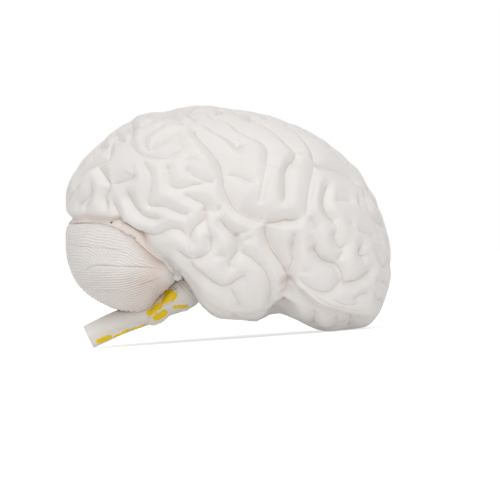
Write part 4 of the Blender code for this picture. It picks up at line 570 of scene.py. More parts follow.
def mesh_points(mesh):
    """Vertex places as an array."""
    co = np.empty(len(mesh.vertices) * 3)
    mesh.vertices.foreach_get("co", co)
    return co.reshape(-1, 3)


def mesh_normals(mesh):
    """Vertex normals as an array."""
    normals = np.empty(len(mesh.vertices) * 3)
    mesh.vertices.foreach_get("normal", normals)
    return normals.reshape(-1, 3)


def write_points(mesh, co):
    """Vertex places set from an array."""
    mesh.vertices.foreach_set("co", co.ravel())
    mesh.update()


def write_attribute(mesh, name, values):
    """A number at each vertex, for the finish to read."""
    attribute = mesh.attributes.get(name) or mesh.attributes.new(name, "FLOAT", "POINT")
    attribute.data.foreach_set("value", np.asarray(values, np.float32))


def in_edit_mode(obj, *steps):
    """Runs edit-mode steps with the whole mesh selected."""
    select_only(obj)
    bpy.ops.object.mode_set(mode="EDIT")
    bpy.ops.mesh.select_all(action="SELECT")
    for step in steps:
        step()
    bpy.ops.object.mode_set(mode="OBJECT")
    return obj


def outward(obj):
    """Faces turned to point out."""
    return in_edit_mode(obj, lambda: bpy.ops.mesh.normals_make_consistent(inside=False))


def right_half_of(obj, closed=True):
    """The form cut along the split, its right half kept, and closed with a flat face if asked."""
    return in_edit_mode(obj, lambda: bpy.ops.mesh.bisect(
        plane_co=(0.0, MIDDLE, 0.0), plane_no=(0.0, 1.0, 0.0), use_fill=closed, clear_outer=True))


def copy_of(obj, name):
    """A copy with its own mesh."""
    select_only(obj)
    bpy.ops.object.duplicate()
    return named(name)


def swollen(obj, name, amount):
    """A copy grown outwards by an even amount."""
    return with_modifier(copy_of(obj, name), "DISPLACE", strength=amount, mid_level=0.0)


def left_copy(obj, name):
    """The mirror image of a right-hand casting, across the split."""
    return in_edit_mode(
        copy_of(obj, name),
        lambda: bpy.ops.transform.resize(value=(1.0, -1.0, 1.0), center_override=(0.0, 0.0, 0.0)),
        lambda: bpy.ops.mesh.flip_normals())


def section_points(around, along, top, bottom, side, waist, above, below):
    """Places on a rounded form: an angle round each section, and its place along the length from -1 to 1."""
    back, front = top[0][0], top[-1][0]
    xs = (back + front) / 2 + (front - back) / 2 * along
    tops, bottoms = profile(top, xs), profile(bottom, xs)
    sides, waists = profile(side, xs), profile(waist, xs)
    waists = np.clip(waists, bottoms + 0.2 * (tops - bottoms), tops - 0.2 * (tops - bottoms))
    upper = np.sin(around) >= 0
    power = np.where(upper, 2 / np.interp(xs, *zip(*above)), 2 / np.interp(xs, *zip(*below)))
    rise = np.where(upper, tops - waists, waists - bottoms)
    y = sides * np.sign(np.cos(around)) * np.abs(np.cos(around)) ** power
    z = waists + rise * np.sign(np.sin(around)) * np.abs(np.sin(around)) ** power
    return np.column_stack([xs, y, z]) * MM


def rounded_form(name, tables, segments, rings):
    """A sphere moved onto a rounded form's sections, its poles at the back and front."""
    nothing_selected()
    bpy.ops.mesh.primitive_uv_sphere_add(segments=segments, ring_count=rings, radius=1.0)
    form = named(name)
    co = mesh_points(form.data)
    around = np.arctan2(co[:, 0], co[:, 1])
    write_points(form.data, section_points(around, np.clip(co[:, 2], -1.0, 1.0), *tables))
    return outward(form)


def cerebrum_form(name, segments=160, rings=120):
    """The plain rounded form of the whole cerebrum."""
    return rounded_form(name, (CEREBRUM_TOP, CEREBRUM_BOTTOM, CEREBRUM_SIDE, CEREBRUM_WAIST,
                               CEREBRUM_SQUARE_ABOVE, CEREBRUM_SQUARE_BELOW), segments, rings)


def cerebellum_form(name, segments=96, rings=64):
    """The plain rounded form of the whole cerebellum, notched at the back."""
    form = rounded_form(name, (CEREBELLUM_TOP, CEREBELLUM_BOTTOM, CEREBELLUM_SIDE, CEREBELLUM_WAIST,
                               CEREBELLUM_SQUARE_ABOVE, CEREBELLUM_SQUARE_BELOW), segments, rings)
    depth, half_width, start, run = (size * MM for size in NOTCH)
    co = mesh_points(form.data)
    rearward = np.clip((start - co[:, 0]) / run, 0.0, 1.0)
    co[:, 0] += depth * rearward * np.exp(-(co[:, 1] / half_width) ** 2)
    write_points(form.data, co)
    return form


def stem_form(name, sides=64, stations=49):
    """The plain form of the whole brainstem: a cylinder moved onto its sections, with flat cut ends."""
    line = np.array(STEM_LINE)
    travelled = np.concatenate([[0.0], np.cumsum(np.linalg.norm(np.diff(line[:, :2], axis=0), axis=1))])
    at = np.linspace(0.0, travelled[-1], stations)
    x, z, thick, wide = (np.interp(at, travelled, line[:, i]) * MM for i in range(4))
    centres = np.column_stack([x, np.zeros_like(x), z])
    tangents = np.gradient(centres, axis=0)
    tangents /= np.linalg.norm(tangents, axis=1)[:, None]
    nothing_selected()
    bpy.ops.mesh.primitive_cylinder_add(vertices=sides, radius=1.0, depth=2.0, end_fill_type="NGON")
    stem = named(name)
    for step in range(1, stations - 1):
        in_edit_mode(stem, lambda: bpy.ops.mesh.bisect(
            plane_co=(0.0, 0.0, 2.0 * step / (stations - 1) - 1.0), plane_no=(0.0, 0.0, 1.0)))
    co = mesh_points(stem.data)
    station = np.rint((co[:, 2] + 1.0) / 2.0 * (stations - 1)).astype(int)
    across = np.column_stack([-tangents[:, 2], np.zeros_like(x), tangents[:, 0]])
    places = centres[station] + across[station] * (thick[station] * co[:, 0])[:, None]
    places[:, 1] += wide[station] * co[:, 1]
    write_points(stem.data, places)
    return outward(stem)


def ellipsoid(name, centre, half_sizes, along=(1.0, 0.0, 0.0), segments=48):
    """A ball stretched to its half sizes, the first of them along the given direction."""
    nothing_selected()
    bpy.ops.mesh.primitive_uv_sphere_add(segments=segments, ring_count=segments // 2, radius=1.0)
    ball = named(name)
    turn = Vector(along).to_track_quat("X", "Z").to_matrix().to_4x4()
    ball.data.transform(Matrix.Translation(centre) @ turn @ Matrix.Diagonal((*half_sizes, 1.0)))
    return ball


def with_roots(stem, swell=0.0):
    """A stem with its nerve roots joined on, each grown by the swell."""
    for start, end, radius in NERVE_ROOTS:
        a, b = (Vector(p) for p in placed([start, end]))
        thick = radius * MM + swell
        half_sizes = ((b - a).length / 2 + thick, thick, thick)
        cut(stem, ellipsoid("root", (a + b) / 2, half_sizes, b - a, 24), "UNION")
    return stem


def stem_room():
    """What a casting is cut back by to clear the stem and its nerve roots."""
    plain = stem_form("stem_plain")
    room = with_roots(swollen(plain, "stem_room", SEAT_GAP), SEAT_GAP)
    bpy.data.objects.remove(plain)
    return room


def fine_skin(obj, cell, rounds, uneven):
    """An even fine skin over the form, softened and slightly uneven, with its middle face kept flat."""
    with_modifier(obj, "REMESH", mode="VOXEL", voxel_size=cell)
    clouds = bpy.data.textures.new("unevenness", "CLOUDS")
    clouds.noise_scale = UNEVEN_SCALE
    with_modifier(obj, "DISPLACE", texture=clouds, texture_coords="LOCAL", mid_level=1.0, strength=uneven)
    with_modifier(obj, "SMOOTH", iterations=rounds)
    co = mesh_points(obj.data)
    co[co[:, 1] > MIDDLE - cell * 0.9 - uneven, 1] = MIDDLE
    write_points(obj.data, co)
    return obj


def thinned(obj, triangles):
    """The skin with the triangles that its flat parts don't need taken out."""
    count = sum(len(face.vertices) - 2 for face in obj.data.polygons)
    return with_modifier(obj, "DECIMATE", ratio=min(1.0, triangles / count), use_collapse_triangulate=True)


def bored(obj, place):
    """A casting with the blind hole that takes half a pin."""
    low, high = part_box("front_pin")
    nothing_selected()
    bpy.ops.mesh.primitive_cylinder_add(
        vertices=BORE_SIDES, radius=(high[0] - low[0]) / 2 + PIN_CLEARANCE,
        depth=high[1] - low[1] + 2 * PIN_CLEARANCE, location=in_profile([place])[0],
        rotation=(math.pi / 2, 0.0, 0.0))
    bore = named("bore")
    bpy.ops.object.transform_apply(location=True, rotation=True, scale=True)
    return cut(obj, bore)


def laid_on_frame(obj, body, node, finish, sharp):
    """A finished piece: leaned as the model stands, shaded, painted, and riding on its body."""
    obj.data.transform(stance())
    obj.data.update()
    obj.data.materials.clear()
    obj.data.materials.append(finish)
    select_only(obj)
    bpy.ops.object.shade_smooth_by_angle(angle=math.radians(sharp))
    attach(obj, body)
    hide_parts(node)


def both_sides(right, name, finish, sharp=80.0):
    """The right casting and its mirror image, each laid on its half of the frame."""
    left = left_copy(right, f"{name}_left_skin")
    for obj, side in ((right, "right"), (left, "left")):
        laid_on_frame(obj, f"{side}_half", f"{name}_{side}", finish, sharp)


def groove_reach(co, normals, line, reach):
    """Vertices near a groove: their distance, which side they lie on, and how far the groove has faded there."""
    best = np.full(len(co), np.inf)
    closest = np.zeros(len(co), int)
    for start in range(0, len(line), LINE_CHUNK):
        part = line[start:start + LINE_CHUNK]
        near = np.flatnonzero(np.all((co > part.min(0) - reach) & (co < part.max(0) + reach), axis=1))
        if len(near) == 0:
            continue
        distance = np.linalg.norm(co[near, None] - part[None], axis=2)
        pick = distance.argmin(axis=1)
        nearest = distance[np.arange(len(near)), pick]
        closer = nearest < best[near]
        best[near[closer]] = nearest[closer]
        closest[near[closer]] = start + pick[closer]
    near = np.flatnonzero(best < reach)
    along = np.gradient(line, axis=0)[closest[near]]
    side = np.einsum("ij,ij->i", co[near] - line[closest[near]], np.cross(normals[near], along))
    travelled = np.concatenate([[0.0], np.cumsum(np.linalg.norm(np.diff(line, axis=0), axis=1))])
    ends = np.minimum(travelled, travelled[-1] - travelled) / FADE_LENGTH
    fade = FADE_FLOOR + (1.0 - FADE_FLOOR) * smooth_step(ends)
    return near, best[near], side > 0, fade[closest[near]]


def wandering(line):
    """A line put gently off its course, by where it is."""
    phase = line / WANDER_WAVE
    return line + WANDER * np.sin(phase[:, [1, 2, 0]] + 0.7 * phase[:, [2, 0, 1]])


def side_line(tree, points):
    """Drawn (x, z) points laid on the right-hand surface."""
    line = []
    for x, y, z in smooth_line(in_profile(points), LINE_STEP):
        hit = tree.ray_cast(Vector((x, -1.0, z)), Vector((0.0, 1.0, 0.0)))[0]
        line.append(hit or tree.find_nearest(Vector((x, y, z)))[0])
    return np.array(line)


def wrapped_line(tree, points):
    """Drawn (x, y, z) points, put off their course and taken to the nearest surface."""
    course = wandering(smooth_line(placed(points), LINE_STEP))
    return np.array([tree.find_nearest(Vector(p))[0] for p in course])


def middle_line(points):
    """Drawn (x, z) points on the middle face."""
    return smooth_line(in_profile(points), LINE_STEP) + np.array([0.0, MIDDLE, 0.0])


def folded(obj, sizes, seam, outer):
    """Sinks the folds into the cerebrum: broad rounded shoulders, a sharp cleft between them, and pits."""
    tree = BVHTree.FromObject(obj, bpy.context.evaluated_depsgraph_get())
    co, normals = mesh_points(obj.data), mesh_normals(obj.data)
    lines = [(side_line(tree, points), *amounts) for *amounts, points in SIDE_FOLDS]
    lines += [(wrapped_line(tree, points), *amounts) for *amounts, points in WRAPPED_FOLDS]
    lines += [(middle_line(points), *amounts) for *amounts, points in MIDDLE_FOLDS]
    rim_lines = [(middle_line(points), *amounts) for *amounts, points in RIM_FOLDS]
    off_rim = smooth_step((-co[:, 1] - CREASE_FADE[0]) / CREASE_FADE[1])
    on_middle = np.flatnonzero(co[:, 1] > MIDDLE - MERGE)
    shoulder = np.where(co[:, 1] > MIDDLE - MERGE, 1.0, RIM_SHARE + (1.0 - RIM_SHARE) * off_rim)
    pillow, cleft, lobes = (np.zeros(len(co)) for _ in range(3))
    for line, drawn_depth, left, right in lines:
        depth = drawn_depth ** DEPTH_POWER
        reach = max(left, right) * MM * sizes.pillow_stretch
        near, distance, on_left, fade = groove_reach(co, normals, line, reach)
        width = np.where(on_left, left, right) * MM * sizes.pillow_stretch
        rounded = np.clip(1.0 - distance / width, 0.0, 1.0) ** PILLOW_POWER
        pillow[near] += (depth * MM * sizes.pillow_share * fade * rounded * shoulder[near]) ** BLEND_POWER
        t = np.clip(1.0 - distance / sizes.cleft_reach, 0.0, 1.0)
        sharp = 1.0 - np.sqrt(1.0 - t * t)
        cleft[near] = np.maximum(cleft[near], depth * MM * sizes.cleft_share * fade * sharp * off_rim[near])
    rim = np.zeros(len(co))
    for line, depth, reach, _ in rim_lines:
        near, distance, _, fade = groove_reach(co, normals, line, reach * MM)
        rim[near] = depth * MM * fade * (1.0 - distance / (reach * MM)) ** PILLOW_POWER
    pillow[on_middle] = np.where(rim[on_middle] > 0.0, 0.0, pillow[on_middle])
    pillow += rim ** BLEND_POWER
    for depth, reach, points in CREASES:
        near, distance, _, fade = groove_reach(co, normals, side_line(tree, points), reach * MM)
        thin = depth * MM * fade * (1.0 - distance / (reach * MM)) ** 2
        cleft[near] = np.maximum(cleft[near], thin)
    for depth, left, right, points in LOBE_STEPS + BROW_STEPS:
        line = side_line(tree, points)
        near, distance, on_left, fade = groove_reach(co, normals, line, max(left, right) * MM)
        lobes[near] += depth * MM * fade * smooth_step(1.0 - distance / (np.where(on_left, left, right) * MM))
    pits = np.zeros(len(co))
    for place, radius, depth in PITS:
        away = np.linalg.norm(co - side_line(tree, [place, place])[0], axis=1) / (radius * MM)
        pits = np.maximum(pits, depth * MM * np.clip(1.0 - away ** 2, 0.0, 1.0) ** 2)
    broad = pillow ** (1.0 / BLEND_POWER) + lobes
    fine = np.maximum(cleft, pits)
    # Painted shade in the clefts and, at a smaller share, in the pits, by their depth
    painted_shade = np.clip(np.maximum(cleft, PIT_SHADE * pits) / sizes.painted_shade_depth, 0.0, 1.0)
    start, run = SEAM_SHADE
    off_seam = np.array([seam.find_nearest(Vector(p), start + run)[3] or start + run for p in co])
    by_seam = smooth_step((start + run - off_seam) / run)
    broad -= sizes.fullness * (1.0 - by_seam)
    # Painted warm shade along the seam with the cerebellum, fading out towards the front
    end, fade = (size * MM for size in SEAM_END)
    write_attribute(obj.data, "seam", by_seam * smooth_step((end - co[:, 0]) / fade))
    for x, _, z in in_profile([FRONT_PIN, REAR_PIN]):
        in_bore = (np.hypot(co[:, 0] - x, co[:, 2] - z) < BORE_RIM) & (co[:, 1] > -BORE_REACH)
        broad[in_bore], fine[in_bore], painted_shade[in_bore] = 0.0, 0.0, 0.0
    normals[on_middle] = [outer.find_nearest(Vector(p))[1] if r else n
                          for p, r, n in zip(co[on_middle], rim[on_middle], normals[on_middle])]
    write_points(obj.data, co - normals * broad[:, None])
    with_modifier(obj, "SMOOTH", iterations=sizes.round_rounds)
    moved = mesh_points(obj.data) - normals * fine[:, None]
    moved[:, 1] = np.minimum(moved[:, 1], MIDDLE)
    write_points(obj.data, moved)
    write_attribute(obj.data, "groove", painted_shade)
    off_vent = np.linalg.norm(co - side_line(tree, [VENT, VENT])[0], axis=1)
    write_attribute(obj.data, "off_vent", np.minimum(off_vent, 4.0 * VENT_RADIUS))
    return obj


def fan_steps():
    """Angles round the fan: fine steps over the folia, coarse ones in front, and the first again at the end."""
    leaves = np.arange(FOLIA_FROM, FOLIA_TO, RAY_ANGLE)
    return np.concatenate([leaves, np.linspace(leaves[-1], FOLIA_FROM + 360.0, PLAIN_STEPS + 1)[1:]])


def on_form(tree, centre, angle, lean):
    """Where rays from the stalk meet the form: degrees round the fan, and radians out of the middle plane."""
    turn = np.radians(angle)
    way = np.column_stack([-np.cos(turn) * np.cos(lean), np.sin(lean), np.sin(turn) * np.cos(lean)])
    return np.array([tree.ray_cast(Vector(centre), Vector(d))[0] or Vector(centre) for d in way])


def folia_waves(x, z):
    """How far across its folium each drawn place on the side lies, as a share from crest to crest."""
    crest, upper, middle, lower = (
        profile(line, x) for line in (FOLIA_CREST, UPPER_FISSURE, MIDDLE_FISSURE, LOWER_FISSURE))
    above = CREST_FOLIA * (z - upper) / np.maximum(crest - upper, 1.5)
    phase = np.where(z > upper, above, (z - upper) / FOLIUM)
    arcs = np.hypot(x - LOBULE_CENTRE[0], z - LOBULE_CENTRE[1]) / LOBULE_FOLIUM
    in_lobule = (z < upper) & (x > LOBULE_SPAN[0]) & (x < LOBULE_SPAN[1])
    phase = np.where(in_lobule, arcs, phase)
    ahead = np.arctan2(FAR_MEETING[1] - z, FAR_MEETING[0] - x) * FAR_DISTANCE / LOW_FOLIUM
    below = np.where(z > lower, (z - lower) / LOW_FOLIUM, -ahead)
    astray = 0.3 * np.sin(x / 3.3 + 0.8 * np.sin(z / 4.1)) + 0.15 * np.sin(x / 1.9 - z / 2.7)
    return np.where(z > middle, phase + astray, below + 0.3 * astray)


def leaved(sizes):
    """The cerebellum: a skin laid in rays from the stalk, with folia and fissures sunk into it, and painted shade in
    them, under the cerebrum's edge and at its front end.
    """
    form = cerebellum_form("cerebellum_plain", 240, 160)
    tree = BVHTree.FromObject(form, bpy.context.evaluated_depsgraph_get())
    bpy.data.objects.remove(form)
    fan = fan_steps()
    nothing_selected()
    bpy.ops.mesh.primitive_grid_add(x_subdivisions=len(fan) - 1, y_subdivisions=sizes.folia_rings, size=2.0)
    skin = named("cerebellum_right_skin")
    flat = mesh_points(skin.data)
    angle = fan[np.rint((flat[:, 0] + 1.0) / 2.0 * (len(fan) - 1)).astype(int)]
    lean = np.radians(-90.0 + (90.0 + PAST_MIDDLE) * (flat[:, 1] + 1.0) / 2.0)
    stalk = in_profile([STALK])[0]
    turned = angle
    for _ in range(4):
        co = on_form(tree, stalk, turned, lean)
        radius = np.hypot(co[:, 0] - stalk[0], co[:, 2] - stalk[2]) / MM
        turned = angle + np.interp(angle, *zip(*FAN_BEND)) * smooth_step((radius - BEND_FROM) / BEND_RUN)
    normals = np.array([tree.find_nearest(Vector(p))[1] for p in co])
    x, z = co[:, 0] / MM, co[:, 2] / MM
    in_folia = smooth_step((angle - FOLIA_FROM) / 6.0) * smooth_step((FOLIA_TO - angle) / 20.0)
    in_folia *= smooth_step((radius - 4.0) / 6.0)
    low = smooth_step((profile(MIDDLE_FISSURE, x) - z) / 8.0) * np.interp(x, [-70.0, -46.0], [0.3, 1.0])
    # Painted shade under the cerebrum's edge and towards the front end, where nothing is cut
    shade = smooth_step((z - profile(FOLIA_CREST, x) + 9.0) / 8.0) * smooth_step((x + 62.0) / 22.0)
    shaded_end = smooth_step((x + 50.0) / 16.0)
    leaf = (0.5 - 0.5 * np.cos(2.0 * np.pi * folia_waves(x, z))) ** 0.8 * in_folia
    folia = leaf * (0.55 + 0.45 * low) * sizes.folia_depth
    fissures = np.zeros(len(co))
    for line, depth, start, end in FISSURES:
        away = np.abs(z - profile(line, x)) * MM / sizes.fissure_reach
        fade = smooth_step((x - start) / 4.0) * smooth_step((end - x) / 10.0)
        fissures = np.maximum(fissures, depth * MM * fade * (1.0 - np.clip(away, 0.0, 1.0)) ** 2)
    write_points(skin.data, co - normals * (folia + fissures)[:, None])
    # Painted shade: the fissures, the hollows between the folia (more in the lower ones), under the cerebrum's edge
    # and at the front end
    painted_shade = fissures / sizes.painted_shade_depth * 0.6 + (0.3 + 0.3 * low) * leaf + 0.35 * shade + 0.3 * shaded_end
    write_attribute(skin.data, "groove", np.clip(painted_shade, 0.0, 1.0))
    in_edit_mode(skin, lambda: bpy.ops.mesh.remove_doubles(threshold=MERGE))
    return outward(skin)


def middle_plate(form):
    """The slice of a form beside the split, which closes a skin laid round it."""
    plate = right_half_of(with_modifier(form, "DISPLACE", strength=-PLATE_INSET, mid_level=0.0))
    return in_edit_mode(plate, lambda: bpy.ops.mesh.bisect(
        plane_co=(0.0, MIDDLE - PLATE_THICKNESS, 0.0), plane_no=(0.0, 1.0, 0.0), use_fill=True,
        clear_inner=True))


def joined(obj, other):
    """Two meshes as one object, under the first one's name."""
    select_only(other)
    obj.select_set(True)
    bpy.context.view_layer.objects.active = obj
    bpy.ops.object.join()
    return obj


def ridged(stem):
    """The slanting ridges of the pons with painted shade between them, and where the nerve roots are painted."""
    co, normals = mesh_points(stem.data), mesh_normals(stem.data)
    (x, z), radius, pitch, depth = PONS_RIDGES
    away = np.hypot(co[:, 0] / MM - x, co[:, 2] / MM - z) / radius
    wave = 0.5 + 0.5 * np.sin(2 * np.pi * (co[:, 0] + co[:, 2]) / MM / math.sqrt(2.0) / pitch)
    outer = smooth_step(-co[:, 1] / MM / 3.0)
    drop = depth * MM * wave * smooth_step(1.5 - 1.5 * away) * outer
    paint = np.zeros(len(co))
    for radius, points in PAINT:
        line = smooth_line(in_profile(points), LINE_STEP)[:, [0, 2]]
        distance = np.linalg.norm(co[:, None, [0, 2]] - line[None], axis=2).min(axis=1)
        paint = np.maximum(paint, np.clip(1.0 - 0.5 * distance / (radius * MM), 0.0, 1.0))
    write_points(stem.data, co - normals * drop[:, None])
    write_attribute(stem.data, "paint", paint * outer)
    # Painted shade between the ridges of the pons, at a small share of the fold colour
    write_attribute(stem.data, "groove", drop / (depth * MM) * 0.15)
    return stem


class BrainSizes(bpy.types.PropertyGroup):
    """Sizes of the moulded detail."""

    skin_cell: FloatProperty(name="Skin cell", description="Spacing of the cerebrum's fine skin",
                             default=0.0005, unit="LENGTH", precision=5)
    skin_triangles: IntProperty(name="Skin triangles", description="Most triangles of one half of the cerebrum",
                                default=185000)
    stem_cell: FloatProperty(name="Stem cell", description="Spacing of the brainstem's fine skin",
                             default=0.0004, unit="LENGTH", precision=5)
    uneven: FloatProperty(name="Unevenness", description="Most that the soft surface dips by itself",
                          default=0.0005, unit="LENGTH", precision=5)
    pillow_stretch: FloatProperty(name="Shoulder stretch", description="Reach of a fold's rounded shoulders, "
                                  "as a multiple of the drawn reach", default=2.1, subtype="FACTOR")
    pillow_share: FloatProperty(name="Shoulder depth", description="Share of a fold's depth in its shoulders",
                                default=1.25, subtype="FACTOR")
    round_rounds: IntProperty(name="Rounding", description="Rounds of softening of the shoulders", default=10)
    fullness: FloatProperty(name="Fullness", description="What the rounding takes off, given back first",
                            default=0.0005, unit="LENGTH", precision=5)
    cleft_share: FloatProperty(name="Cleft depth", description="Share of a fold's depth in its sharp cleft",
                               default=0.32, subtype="FACTOR")
    cleft_reach: FloatProperty(name="Cleft reach", description="Half width of the sharp cleft",
                               default=0.0012, unit="LENGTH", precision=5)
    # Painted shade: how deep a cleft is where its painted shade is full
    painted_shade_depth: FloatProperty(name="Tint depth", description="Depth at which a cleft shows its full tint",
                              default=0.0009, unit="LENGTH", precision=5)
    folia_rings: IntProperty(name="Folia rings", description="Rings of the cerebellum's skin", default=132)
    folia_depth: FloatProperty(name="Folia depth", description="Depth between two folia",
                               default=0.0005, unit="LENGTH", precision=5)
    fissure_reach: FloatProperty(name="Fissure reach", description="Half width of a fissure of the cerebellum",
                                 default=0.0011, unit="LENGTH", precision=5)


class BrainColours(bpy.types.PropertyGroup):
    """Colours of the plastic and the paint, and of the painted shade in the clefts, along the seam and in the hole on
    the ledge.
    """

    white: FloatVectorProperty(name="Soft white", description="Plastic of the cerebrum and cerebellum",
                               default=(0.83, 0.80, 0.775), subtype="COLOR")
    # Painted shade: the peach-brown that stands in for the warm shade in clefts, folia, fissures and pons ridges
    fold: FloatVectorProperty(name="Fold tint", description="Peach tint that gathers in the clefts",
                              default=(0.66, 0.53, 0.47), subtype="COLOR")
    # Painted warm shade along the seam with the cerebellum
    seam: FloatVectorProperty(name="Seam peach", description="Peach of the ledge over the cerebellum",
                              default=(0.83, 0.745, 0.69), subtype="COLOR")
    # Painted shade: the dark that stands in for the shade inside the hole on the ledge
    vent_shade: FloatVectorProperty(name="Vent dark", description="The dark of the hole under the back of the cerebrum",
                              default=(0.10, 0.05, 0.03), subtype="COLOR")
    stem: FloatVectorProperty(name="Stem white", description="Plastic of the brainstem",
                              default=(0.87, 0.835, 0.79), subtype="COLOR")
    nerve: FloatVectorProperty(name="Nerve yellow", description="Paint on the nerve roots",
                               default=(0.93, 0.66, 0.015), subtype="COLOR")
    pin: FloatVectorProperty(name="Pin ivory", description="Hard plastic of the pins",
                             default=(0.64, 0.58, 0.45), subtype="COLOR")


class StudioLight(bpy.types.PropertyGroup):
    """Levels of the soft studio light, where one shows a colour as written."""

    room: FloatProperty(name="Room", description="Even light from all round", default=0.36)
    top: FloatProperty(name="Top", description="Soft light from above", default=0.45)
    front: FloatProperty(name="Front", description="Soft light from the camera's side", default=0.23)
    floor: FloatVectorProperty(name="Floor", description="Pale floor", default=(0.8, 0.8, 0.8), subtype="COLOR")
    glow: FloatProperty(name="Glow", description="Light that the floor gives off by itself", default=0.21)


def linked(tree, kind, settings=None, **inputs):
    """Adds a shader node, with its settings, and its inputs given as values or as sockets to link."""
    node = tree.nodes.new(kind)
    for setting, value in (settings or {}).items():
        setattr(node, setting, value)
    for name, value in inputs.items():
        key = int(name[1:]) if name[0] == "_" else name.replace("_", " ")
        if isinstance(value, bpy.types.NodeSocket):
            tree.links.new(value, node.inputs[key])
        else:
            node.inputs[key].default_value = value
    return node


def noise(tree, scale, detail):
    """A noise over the piece, in metres of the object."""
    place = linked(tree, "ShaderNodeTexCoord").outputs["Object"]
    return linked(tree, "ShaderNodeTexNoise", Vector=place, Scale=scale, Detail=detail).outputs["Fac"]


def ranged(tree, value, low, high, to_low=0.0, to_high=1.0):
    """A value eased from one range to another."""
    node = linked(tree, "ShaderNodeMapRange", {"interpolation_type": "SMOOTHSTEP"}, _0=value, _1=low, _2=high,
                  _3=to_low, _4=to_high)
    return node.outputs[0]


def computed(tree, operation, a, b=0.0):
    """One step of arithmetic."""
    return linked(tree, "ShaderNodeMath", {"operation": operation}, _0=a, _1=b).outputs[0]


def mixed(tree, share, a, b):
    """A colour between two, each a colour or a socket."""
    colours = [c if isinstance(c, bpy.types.NodeSocket) else (*c, 1.0) for c in (a, b)]
    node = linked(tree, "ShaderNodeMix", {"data_type": "RGBA"}, _0=share, _6=colours[0], _7=colours[1])
    return node.outputs[2]


def attribute(tree, name):
    """A number painted on the mesh."""
    return linked(tree, "ShaderNodeAttribute", {"attribute_name": name}).outputs["Fac"]


def bumped(tree, height, depth):
    """A fine relief of a depth in metres."""
    return linked(tree, "ShaderNodeBump", Height=height, Distance=depth, Strength=1.0).outputs["Normal"]


def plastic(name, roughness, softness):
    """A new plastic finish: its node tree and its shader."""
    finish = bpy.data.materials.new(name)
    finish.use_nodes = True
    tree = finish.node_tree
    shader = tree.nodes["Principled BSDF"]
    shader.inputs["Roughness"].default_value = roughness
    shader.inputs["Specular IOR Level"].default_value = 0.35
    shader.inputs["Subsurface Weight"].default_value = softness
    shader.inputs["Subsurface Radius"].default_value = (1.0, 0.55, 0.4)
    shader.inputs["Subsurface Scale"].default_value = 0.002
    return finish, tree, shader


def soft_white(name, colours):
    """Matt white plastic with its faint grain, turned peach by painted shade in the clefts."""
    finish, tree, shader = plastic(name, 0.5, 0.12)
    dull = tuple(0.965 * c for c in colours.white)
    body = mixed(tree, ranged(tree, noise(tree, 40.0, 2.0), 0.35, 0.65), colours.white, dull)
    # Painted shade: mixed towards the peach-brown where the groove attribute marks clefts and shaded parts
    body = mixed(tree, ranged(tree, attribute(tree, "groove"), 0.05, 1.0), body, colours.fold)
    tree.links.new(bumped(tree, noise(tree, 650.0, 3.0), 0.00012), shader.inputs["Normal"])
    return finish, tree, shader, body


def cerebrum_finish(colours):
    """The finish of the cerebrum, with painted warm shade along its seam and a dark spot of painted shade for the
    hole on its ledge.
    """
    finish, tree, shader, body = soft_white("cerebrum_white", colours)
    # Painted warm shade along the seam with the cerebellum
    body = mixed(tree, attribute(tree, "seam"), body, colours.seam)
    # Painted shade: a dark spot round the place of the hole on the ledge
    hole = ranged(tree, attribute(tree, "off_vent"), 0.8 * VENT_RADIUS, 1.3 * VENT_RADIUS, 1.0, 0.0)
    tree.links.new(mixed(tree, hole, body, colours.vent_shade), shader.inputs["Base Color"])
    return finish


def cerebellum_finish(colours):
    """The finish of the cerebellum."""
    finish, tree, shader, body = soft_white("cerebellum_white", colours)
    tree.links.new(body, shader.inputs["Base Color"])
    return finish


def stem_finish(colours):
    """The finish of the brainstem, with painted shade between the pons ridges and yellow paint on its nerve roots."""
    finish, tree, shader = plastic("stem_white", 0.5, 0.1)
    body = mixed(tree, ranged(tree, noise(tree, 60.0, 3.0), 0.3, 0.7), colours.stem,
                 tuple(0.95 * c for c in colours.stem))
    # Painted shade between the pons ridges
    body = mixed(tree, attribute(tree, "groove"), body, colours.fold)
    ragged = computed(tree, "MULTIPLY", computed(tree, "SUBTRACT", noise(tree, 500.0, 3.0), 0.5), 0.5)
    edge = computed(tree, "ADD", attribute(tree, "paint"), ragged)
    tree.links.new(mixed(tree, ranged(tree, edge, 0.5, 0.58), body, colours.nerve), shader.inputs["Base Color"])
    tree.links.new(bumped(tree, noise(tree, 450.0, 4.0), 0.0002), shader.inputs["Normal"])
    return finish


def pin_finish(colours):
    """The finish of the pins: harder, glossier plastic."""
    finish, tree, shader = plastic("pin_ivory", 0.3, 0.05)
    body = mixed(tree, noise(tree, 300.0, 2.0), colours.pin, tuple(0.93 * c for c in colours.pin))
    tree.links.new(body, shader.inputs["Base Color"])
    return finish


